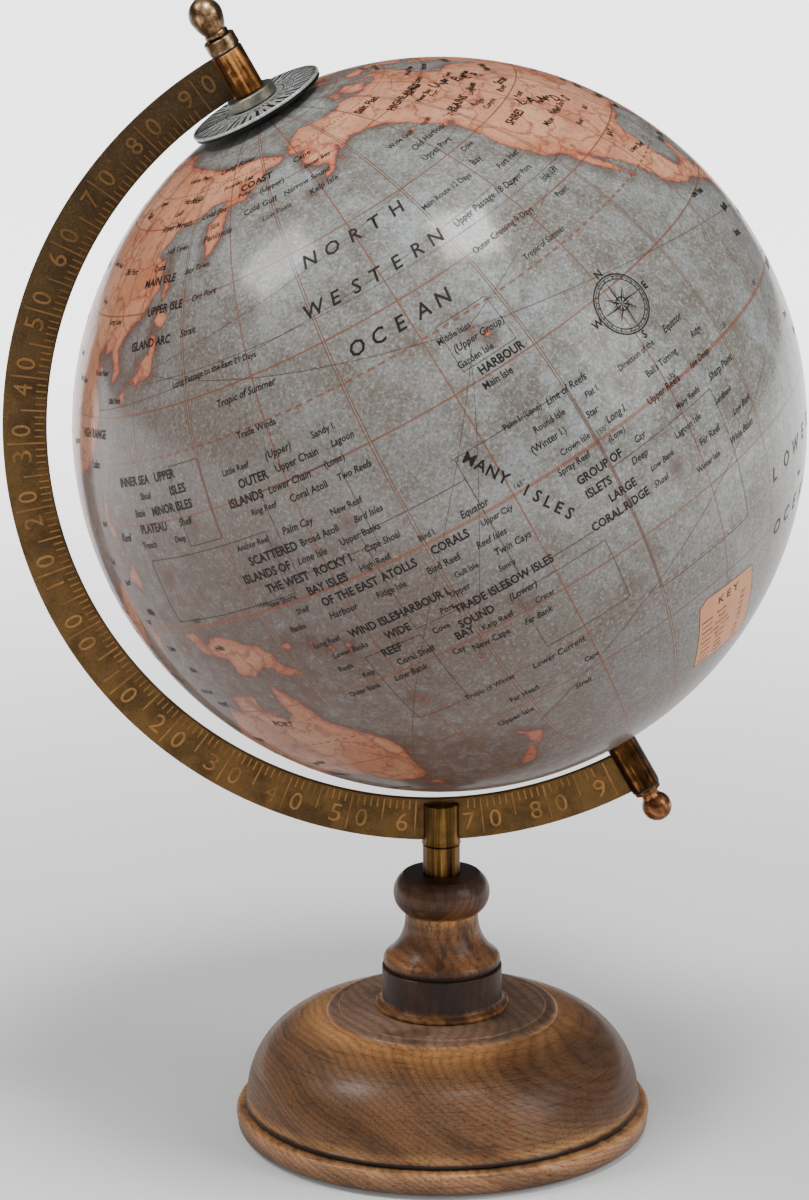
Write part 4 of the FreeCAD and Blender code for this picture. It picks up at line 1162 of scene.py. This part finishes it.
def chart_gore(gore):
    """Gives a placed gore its distance from the coast and its place on the chart."""
    local = points_of(gore) @ np.array(TO_POLE.inverted().to_3x3()).T + np.array(TO_POLE.inverted().translation)
    radius = np.linalg.norm(local, axis=1)
    east = (np.degrees(np.arctan2(local[:, 1], local[:, 0])) + 90 + CHART_TURN) % 360
    north = printed_latitude(np.degrees(np.arcsin(np.clip(local[:, 2] / radius, -1, 1))))
    middle = round(np.degrees(np.angle(np.exp(1j * np.radians(east)).mean())) / 15) * 15
    across = np.radians((east - middle + 180) % 360 - 180)
    edge = (math.radians(GORE_SPAN / 2) - np.abs(across)) * np.cos(np.radians(north))
    gore.data.attributes.new("coast", "FLOAT", "POINT").data.foreach_set(
        "value", coast_distance(east, north).astype(np.float32))
    chart = np.stack([across, np.radians(north), edge], 1)
    gore.data.attributes.new("chart", "FLOAT_VECTOR", "POINT").data.foreach_set(
        "vector", chart.astype(np.float32).ravel())


def make_globe(material):
    pattern = make_gore()
    for number in range(GORE_COUNT):
        turn = Matrix.Rotation(math.radians(number * GORE_SPAN - 90 - CHART_TURN), 4, "Z")
        gore = copied(pattern, TO_POLE @ turn)
        gore.name = gore.data.name = f"map_gore_{number + 1}"
        chart_gore(gore)
        dress(gore, material, "globe", "printed_map", "map_gores")
    bpy.data.objects.remove(pattern)


# ---- words on the chart: text, longitude, latitude, height in degrees, style; general words only ----
# Names on the near side, in groups: longitude and latitude of the first name, columns, degrees across and
# down from one name to the next, degrees by which each row moves east, and the names.
NAME_GROUPS = [
    (176, 63, 2, 9, 3, 0, "COAST,Cape,(Upper),Inner Bay,Cold Gulf,Narrow Sound,Low Point,Kelp Isle"),
    (222, 53, 1, 9, 3, 1.5, "Wide Gulf,Old Harbour,Upper Port,Cove,Bay,Port Inlet,Lower Port,Isle (3),Point"),
    (217, 40, 1, 9, 5, 1, "Main Route 12 Days,Upper Passage 18 Days,Outer Crossing 9 Days,Tropic of Summer"),
    (200, 22, 1, 9, 2, 0.5, "Middle Isles,(Upper Group),Garden Isle,HARBOUR,Main Isle"),
    (157, 33, 1, 9, 5, 3, "Long Passage to the East 21 Days,Tropic of Summer,Trade Winds"),
    (157, 19, 3, 8, 2.1, 0, "Little Reef,(Upper),Sandy I.,OUTER,Upper Chain,Lagoon,ISLANDS,Lower Chain,(Lone),"
                            "Ring Reef,Coral Atoll,Two Reefs"),
    (133, 21, 2, 8, 2.2, 0, "INNER SEA,UPPER,Shoal,ISLES,Bank,MINOR ISLES,PLATEAU,Shelf,Trench,Deep"),
    (155, 9, 3, 8.5, 2.1, 0, "Anchor Reef,Palm Cay,New Reef,SCATTERED,Broad Atoll,Bird Isles,ISLANDS OF,Lone Isle,"
                             "Upper Banks,THE WEST,ROCKY I.,Cape Shoal,New Shore,BAY ISLES,High Reef,Shelf,"
                             "OF THE EAST,ATOLLS,Banks,Harbour,Ridge Isle"),
    (158, -7, 3, 8.5, 2.2, 0, "Long Reef,WIND ISLES,HARBOUR I.,Lower Banks,WIDE,Port,Reefs,REEF,Cove,Kelp,"
                              "Coral Shelf,BAY,Outer Bank,Low Bank,Cay"),
    (181, 1, 2, 8, 2.2, 0, "Bird I.,Equator,CORALS,Upper Cay,Bird Reef,Reef Isles,Gull Isle,Twin Cays,Upper,Sunny,"
                           "TRADE ISLES,LOW ISLES,SOUND,(Lower),Kelp Reef,Crater,New Cape,Far Bank"),
    (202, 8, 2, 8, 2.2, 0.8, "Palm I. (Lone),Line of Reefs,Round Isle,Flat I.,(Winter I.),Star,Crown Isle,Long I.,"
                             "Spray Reef,(Lone),GROUP OF,Cay,ISLETS,Deep,LARGE,Low Bank,CORAL RIDGE,Shoal"),
    (223, 6, 2, 9, 3, 0.5, "Direction of the,Equator,Ball's Turning,Ridge,Upper Reefs,Isle Deep,Many Reefs,"
                           "Sharp Point,Lagoon Isle,Sandbank,Far Reef,Low Bank,Winter Isle,Wide Basin"),
    (176, -24, 2, 12, 4, 0, "Tropic of Winter,Lower Current,Far Head,Cape,Upper Isle,Strait"),
    (243, 60, 2, 7, 4.5, 1, "HIGHLANDS,Lake,Fort,Ridge Town,PLAINS,Ranch,Canyon,River,SHIRES,Ford,Mine,Gulf Shore"),
    (140, 70, 2, 9, 5, 0, "Wide Plain,Long River,Hills,Frozen Sea,River Mouth,Cold Sea,Hill Town,Peninsula,"
                          "MAIN ISLE,Bay Town,UPPER ISLE,Old Port,ISLAND ARC,Strait"),
]
CAPITALS_HIGH = 1.4                # degrees on the ball
NAMES_HIGH = (1.0, 1.2, 1.1)
NAMES_WIDE = 0.86                  # narrower than the plain letters
ROW_STAGGER = 0.3                  # share of a column by which every second row moves east
UPPER_LANDS_EAST = 260
UPPER_LANDS_TURN = -38
FILLER = ("BAY", "Reef", "Cape", "SEA", "Ridge", "Point", "Harbour", "ISLES", "Lake", "River", "Hills", "PLAIN",
          "Trench", "Strait", "Gulf", "PORT", "Basin", "Upper Bank", "Lower Shelf", "Wide Plain", "HIGH RANGE",
          "Low Head", "Far Cape", "Near Bay", "Inner Sea", "Outer Reef", "Coast", "DESERT", "Forest", "Valley",
          "PLATEAU", "Long Lake", "High Hills", "Old Port", "New Harbour", "Salt Flat", "Delta", "Falls")
STYLES = {"": {"thick": 0.014}, "i": {"slant": 0.25, "thick": 0.014}, "b": {"thick": 0.028},
          "bv": {"thick": 0.02, "pitch": 1.1}}


def from_chart(piece, lift=0.05):
    """Moves a flat piece drawn in chart degrees on to the ball."""
    places = [Vector(CENTRE) + chart_frame(v.co.x, v.co.y)[0] * (BALL + mm(lift)) for v in piece.data.vertices]
    for vertex, place in zip(piece.data.vertices, places):
        vertex.co = place
    return piece


def line_on_chart(first, last, width=0.1):
    """A thin straight line between two chart places, cut into short faces."""
    (ax, ay), (bx, by) = first, last
    squeeze = math.cos(math.radians((ay + by) / 2))
    length = math.hypot((bx - ax) * squeeze, by - ay)
    start_piece()
    bpy.ops.mesh.primitive_grid_add(x_subdivisions=max(1, round(length / 1.5)), y_subdivisions=1, size=2)
    strip = bpy.context.object
    side_x, side_y = -(by - ay) / length / squeeze * width / 2, (bx - ax) * squeeze / length * width / 2
    for vertex in strip.data.vertices:
        share, side = (vertex.co.x + 1) / 2, vertex.co.y
        vertex.co = (ax + (bx - ax) * share + side * side_x, ay + (by - ay) * share + side * side_y, 0)
    return from_chart(strip)


def letters_between(body, first, last, high, **style):
    """Single letters spread evenly between two chart places."""
    made = []
    squeeze = math.cos(math.radians((first[1] + last[1]) / 2))
    turn = math.degrees(math.atan2(last[1] - first[1], (last[0] - first[0]) * squeeze))
    for number, letter in enumerate(body):
        share = number / (len(body) - 1)
        if letter != " ":
            made.append(word_on_ball(letter, first[0] + (last[0] - first[0]) * share,
                                     first[1] + (last[1] - first[1]) * share, high, turn, **style))
    return made


def make_words():
    """The chart's lettering, in two pieces: the near side in rows from its groups, the rest scattered."""
    near = []
    for west, north, columns, across, down, lean, names in NAME_GROUPS:
        for number, name in enumerate(names.split(",")):
            row, column = divmod(number, columns)
            level = north - row * down
            step = across * (column + ROW_STAGGER * (row % 2)) / math.cos(math.radians(level))
            style = "b" if name.isupper() else ("", "i")[number % 2]
            high = CAPITALS_HIGH if name.isupper() else NAMES_HIGH[number % 3]
            east = west + lean * row + step
            near.append(word_on_ball(name, east, level, high, wide=NAMES_WIDE, **STYLES[style]))
    for name, level in (("U P P E R", 54), ("L A N D S", 40)):
        near.append(word_on_ball(name, UPPER_LANDS_EAST, level, 1.9, UPPER_LANDS_TURN, wide=NAMES_WIDE,
                                 **STYLES["bv"]))
    near += letters_between("NORTH", (184, 42.5), (206, 42.5), 2.3, thick=0.015, slant=0.2)
    near += letters_between("WESTERN", (181, 35), (208, 35), 2.3, thick=0.015, slant=0.2)
    near += letters_between("OCEAN", (185, 27), (202, 27), 2.4, thick=0.015, slant=0.2)
    near += letters_between("MANY ISLES", (192, 7), (201, -6), 1.8, thick=0.02)
    near += letters_between("LOWER", (-118, -22), (-96, -22), 2.4, thick=0.015, slant=0.2)
    near += letters_between("OCEAN", (-117, -31), (-97, -31), 2.4, thick=0.015, slant=0.2)
    for at in range(-165, 180, 15):
        near.append(word_on_ball(f"{abs(at)}\u00b0", at + 1.6, 0.9, 0.8, thick=0.004))
    scattered = []
    rng = random.Random(7)
    taken = []
    for _ in range(900):
        east, north = rng.uniform(-180, 180), math.degrees(math.asin(rng.uniform(-0.93, 0.95)))
        body, high = rng.choice(FILLER), rng.choice((0.9, 1.0, 1.1, 1.4))
        half = len(body) * high * 0.36 / math.cos(math.radians(north)) + 1.2
        seen = -205 < east < -105 or east > 138
        shore = coast_distance(np.array([east]), np.array([north]))[0]
        if (seen and shore < 0.5) or (shore < -2.6 and rng.random() < 0.7):
            continue
        if seen and -60 < north < 60 and (shore < 0.5 or north < 48):
            continue
        if any(abs(east - other[0]) < half + other[2] and abs(north - other[1]) < 2.0 for other in taken):
            continue
        taken.append((east, north, half))
        scattered.append(word_on_ball(body, east, north, high, rng.choice((0, 0, 0, 12, -12)), wide=0.84,
                                      **STYLES[rng.choice(("", "i", "b"))]))
    return join("near_words", near), join("far_words", scattered)


def make_routes():
    """Sea routes and the straight-sided boxes round groups of islands."""
    made = []
    for first, last in (((141, 35), (-158, 21.5)), ((-158, 21.5), (-118, 33.5)), ((-158, 21.5), (-80, 7)),
                        ((141, 36), (-124, 48)), ((-158, 21), (178, -18)), ((152, -33), (-158, 20)),
                        ((175, -37), (-80, 6)), ((-118, 33), (140, 34)), ((-122, 37), (122, 31))):
        (ax, ay), (bx, by) = first, last
        bx += 360 * round((ax - bx) / 360)
        made.append(line_on_chart((ax, ay), (bx, by), 0.07))
    boxes = (((-170, 8), (-170, -10), (-150, -10), (-150, 8)), ((-150, -4), (-150, -24), (-128, -24), (-128, -4)),
             ((172, 5), (172, -10), (190, -10), (190, 5)), ((160, 15), (160, 3), (174, 3), (174, 15)),
             ((132, 10), (132, 1), (158, 1), (158, 10)), ((143, 22), (143, 11), (150, 11), (150, 22)),
             ((162, -11), (162, -24), (172, -24), (172, -11)), ((188, -12), (188, -22), (204, -22), (204, -12)),
             ((198, 24), (198, 17), (208, 17), (208, 24)))
    for box in boxes:
        for corner, after in zip(box, box[1:] + box[:1]):
            made.append(line_on_chart(corner, after, 0.10))
    return join("routes_and_boxes", made)


def make_key_panel():
    """Peach panel with a cut corner; its title and rows are separate ink."""
    west, east, top, foot = -143, -125, -32, -48
    corners = [(east - 2, top - 1), (west + 2, top), (west, top - 1), (west - 1, foot + 1), (east, foot),
               (east + 1, foot + 1)]
    start_piece()
    bpy.ops.mesh.primitive_circle_add(vertices=len(corners), radius=1, fill_type="TRIFAN")
    panel = bpy.context.object
    bpy.ops.object.mode_set(mode="EDIT")
    bpy.ops.mesh.select_all(action="SELECT")
    bpy.ops.object.mode_set(mode="OBJECT")
    middle = (sum(c[0] for c in corners) / len(corners), sum(c[1] for c in corners) / len(corners))
    for vertex, place in zip(panel.data.vertices, [*corners, middle] if panel.data.vertices[-1].co.length < 0.1
                             else [middle, *corners]):
        vertex.co = (*place, 0)
    bpy.ops.object.mode_set(mode="EDIT")
    bpy.ops.mesh.select_all(action="SELECT")
    bpy.ops.mesh.subdivide(number_cuts=9)
    bpy.ops.object.mode_set(mode="OBJECT")
    panel.data.update()
    panel = from_chart(face_up(panel), 0.03)
    panel.name = panel.data.name = "key_panel"
    print_ = [word_on_ball("KEY", -134.6, -34.4, 1.5, -2, thick=0.02, pitch=1.6)]
    rows = ("Route", "Reef", "Harbour", "Large Town", "Border", "River", "Lake", "Ridge", "Depth")
    for row, word in enumerate(rows):
        north = -36.6 - row * 1.2
        print_.append(line_on_chart((-142.6, north), (-139.4, north - 0.1), 0.16 if row % 2 else 0.26))
        print_.append(word_on_ball(word, -136.6 + 0.2 * (row % 3), north, 0.72, -2, wide=0.9))
        print_.append(word_on_ball(("(a)", "(b)", "(c)")[row % 3], -129.5, north - 0.2, 0.72, -2))
    for first, last in zip(corners, corners[1:] + corners[:1]):
        print_.append(line_on_chart(first, last, 0.12))
    return panel, join("key_print", print_)


# ---- everything ----
def make_floor():
    start_piece()
    bpy.ops.mesh.primitive_plane_add(size=FLOOR_SIZE)
    floor = bpy.context.object
    floor.name = "floor"
    paint = Finish("glowing_floor", Roughness=0.9, Specular_IOR_Level=0.1, Emission_Strength=1.0)
    where = paint.place()
    x, y, z = paint.parts(where)
    away = ((x * x + y * y) ** 0.5).above(120, 1100)
    pale = paint.mix(paint.noise(where, 60.0, 3.0), tint(206, 206, 206), tint(212, 212, 212))
    # painted light: the floor glows, faintly near the stand and strongly far from it
    glow = paint.node("ShaderNodeMapRange", None, away, 0.0, 1.0, 0.12, 2.8)
    shine = paint.node("ShaderNodeCombineXYZ", None, glow, glow, glow)
    floor.data.materials.append(paint.wear(Base_Color=pale, Emission_Color=shine))


make_floor()

AXIS_MM = [c * 1000 for c in CENTRE]
POLE_TURN = (0, AXIS_TILT, 0)

# In the base's bands, the near-black band from 8.3 to 9.4 mm is painted shade in the groove at the dome's foot, and
# the light lip at 10.4 mm is partly rubbed wear and partly a painted highlight.
base_wood = wood_finish("turned_base_wood", (0, 0, -150), (0, -0.42, -0.2), 0.15, [
    (0.6, (56, 38, 26)), (2.6, (126, 98, 74)), (6.3, (176, 138, 104)), (7.6, (186, 144, 100)), (8.3, (34, 21, 14)),
    (9.4, (46, 30, 19)), (10.4, (172, 132, 86)), (13.0, (118, 88, 58)), (20.0, (114, 84, 57)), (31.0, (118, 89, 62)),
    (33.4, (150, 112, 72)), (34.4, (196, 150, 98)), (35.6, (176, 136, 96)), (36.2, (138, 112, 92)),
    (36.9, (150, 126, 108))])
# In the column's bands, the near-black band from 49.5 to 49.8 mm is painted shade in the groove under the drum.
column_wood = wood_finish("turned_column_wood", (25, 10, 0), (0.15, math.pi / 2, 0), 0.65, [
    (36.9, (150, 106, 60)), (38.6, (128, 88, 50)), (40.2, (58, 37, 22)), (48.8, (60, 38, 23)), (49.5, (40, 25, 15)),
    (49.8, (16, 10, 6)), (50.2, (70, 46, 28)), (52.5, (146, 106, 68)), (57.0, (112, 78, 49)), (62.5, (140, 102, 62)),
    (64.9, (188, 144, 80)), (66.2, (100, 69, 42)), (72.0, (92, 62, 37)), (76.4, (66, 44, 26))], 1.9)
dress(make_base(), base_wood, "stand", "turned_wood", "base_dome")
dress(make_column(), column_wood, "stand", "turned_wood", "column")
dress(make_felt(), plain_finish("felt", (34, 52, 40), (24, 38, 30), 0.85, 0.5, 0.12), "stand", "felt", "base_felt")

dress(make_arm(), arm_finish(), "arm", "dark_brass", "meridian_arm")
rubbed = rubbed_mark_finish()
dress(make_arm_scale("arm_scale_front", -1), rubbed, "arm", "dark_brass", "meridian_arm")
dress(make_arm_scale("arm_scale_back", 1), rubbed, "arm", "dark_brass", "meridian_arm")

dress(make_dial(), dial_finish(), "dial", "brushed_silver", "hour_dial")
dial_ink = plain_finish("dial_ink", (3, 3, 3), (10, 10, 9), 0.5, 0.6, 0.004, Specular_IOR_Level=0.15)
dress(make_dial_marks(), dial_ink, "dial", "brushed_silver", "hour_dial")

stem_brass = brass_finish("sleeve_brass", (22, 15, 6), (74, 54, 26), (150, 108, 58), 0.30)
north_brass = brass_finish("north_barrel_brass", (18, 11, 5), (66, 41, 20), (190, 130, 74), 0.28,
                           POLE_TURN, 0.8, AXIS_MM)
acorn_bronze = brass_finish("acorn_bronze", (30, 23, 15), (82, 62, 42), (164, 136, 104), 0.22, POLE_TURN, 0.4, AXIS_MM)
ball_bronze = brass_finish("ball_bronze", (50, 30, 17), (116, 76, 46), (196, 138, 94), 0.24, POLE_TURN, 0.4, AXIS_MM)
steel = spun_metal_finish("plain_steel", (150, 150, 148), (112, 112, 108), 0.34)
nickel = spun_metal_finish("dull_nickel", (132, 130, 118), (92, 90, 78), 0.28, 1.0, POLE_TURN, AXIS_MM)
black_metal = spun_metal_finish("blackened_metal", (24, 22, 20), (40, 36, 32), 0.36, 0.6, POLE_TURN, AXIS_MM)
black_plastic = plain_finish("black_plastic", (3, 3, 3), (9, 9, 9), 0.45, 0.8, 0.01, Specular_IOR_Level=0.12)
bush_plastic = plain_finish("bush_plastic", (206, 200, 186), (186, 180, 166), 0.42, 1.0, 0.02)
shell = plain_finish("ball_shell", (150, 128, 98), (128, 106, 80), 0.8, 2.0, 0.05)
NODE_FINISH = {
    "base_washer": steel, "base_nut": steel, "tie_rod": steel, "axle_rod": steel, "stem_sleeve": stem_brass,
    "arm_socket": stem_brass, "north_barrel": north_brass, "south_barrel": north_brass, "dial_spacer": nickel,
    "north_lock_washer": black_metal, "south_lock_washer": black_metal, "south_thrust_washer": black_plastic,
    "dial_backing": black_plastic, "north_pole_cap": black_plastic, "south_pole_cap": black_plastic,
    "north_finial": acorn_bronze, "south_finial": ball_bronze, "north_hemisphere": shell,
    "south_hemisphere": shell, "equator_ring": shell, "north_bush": bush_plastic, "south_bush": bush_plastic}
for node, material in NODE_FINISH.items():
    cad = bpy.data.objects[node]
    for place in cad.material_slots:
        place.material = material

# ---- print on the ball ----
ink = plain_finish("map_ink", (9, 6, 5), (26, 16, 12), 0.42, 0.7, 0.004, Specular_IOR_Level=0.2)
dress(join("compass_rose", make_compass(*COMPASS_AT)), ink, "globe", "printed_map", "map_gores")
for words in make_words():
    dress(words, ink, "globe", "printed_map", "map_gores")
thin_ink = plain_finish("brown_line_ink", (40, 24, 16), (70, 44, 30), 0.42, 0.7, 0.004, Specular_IOR_Level=0.2)
dress(make_routes(), thin_ink, "globe", "printed_map", "map_gores")
panel, panel_print = make_key_panel()
panel_paper = plain_finish("key_panel_paper", (190, 128, 84), (150, 96, 62), 0.4, 1.6, 0.01)
dress(panel, panel_paper, "globe", "printed_map", "map_gores")
dress(panel_print, thin_ink, "globe", "printed_map", "map_gores")

make_globe(map_finish())
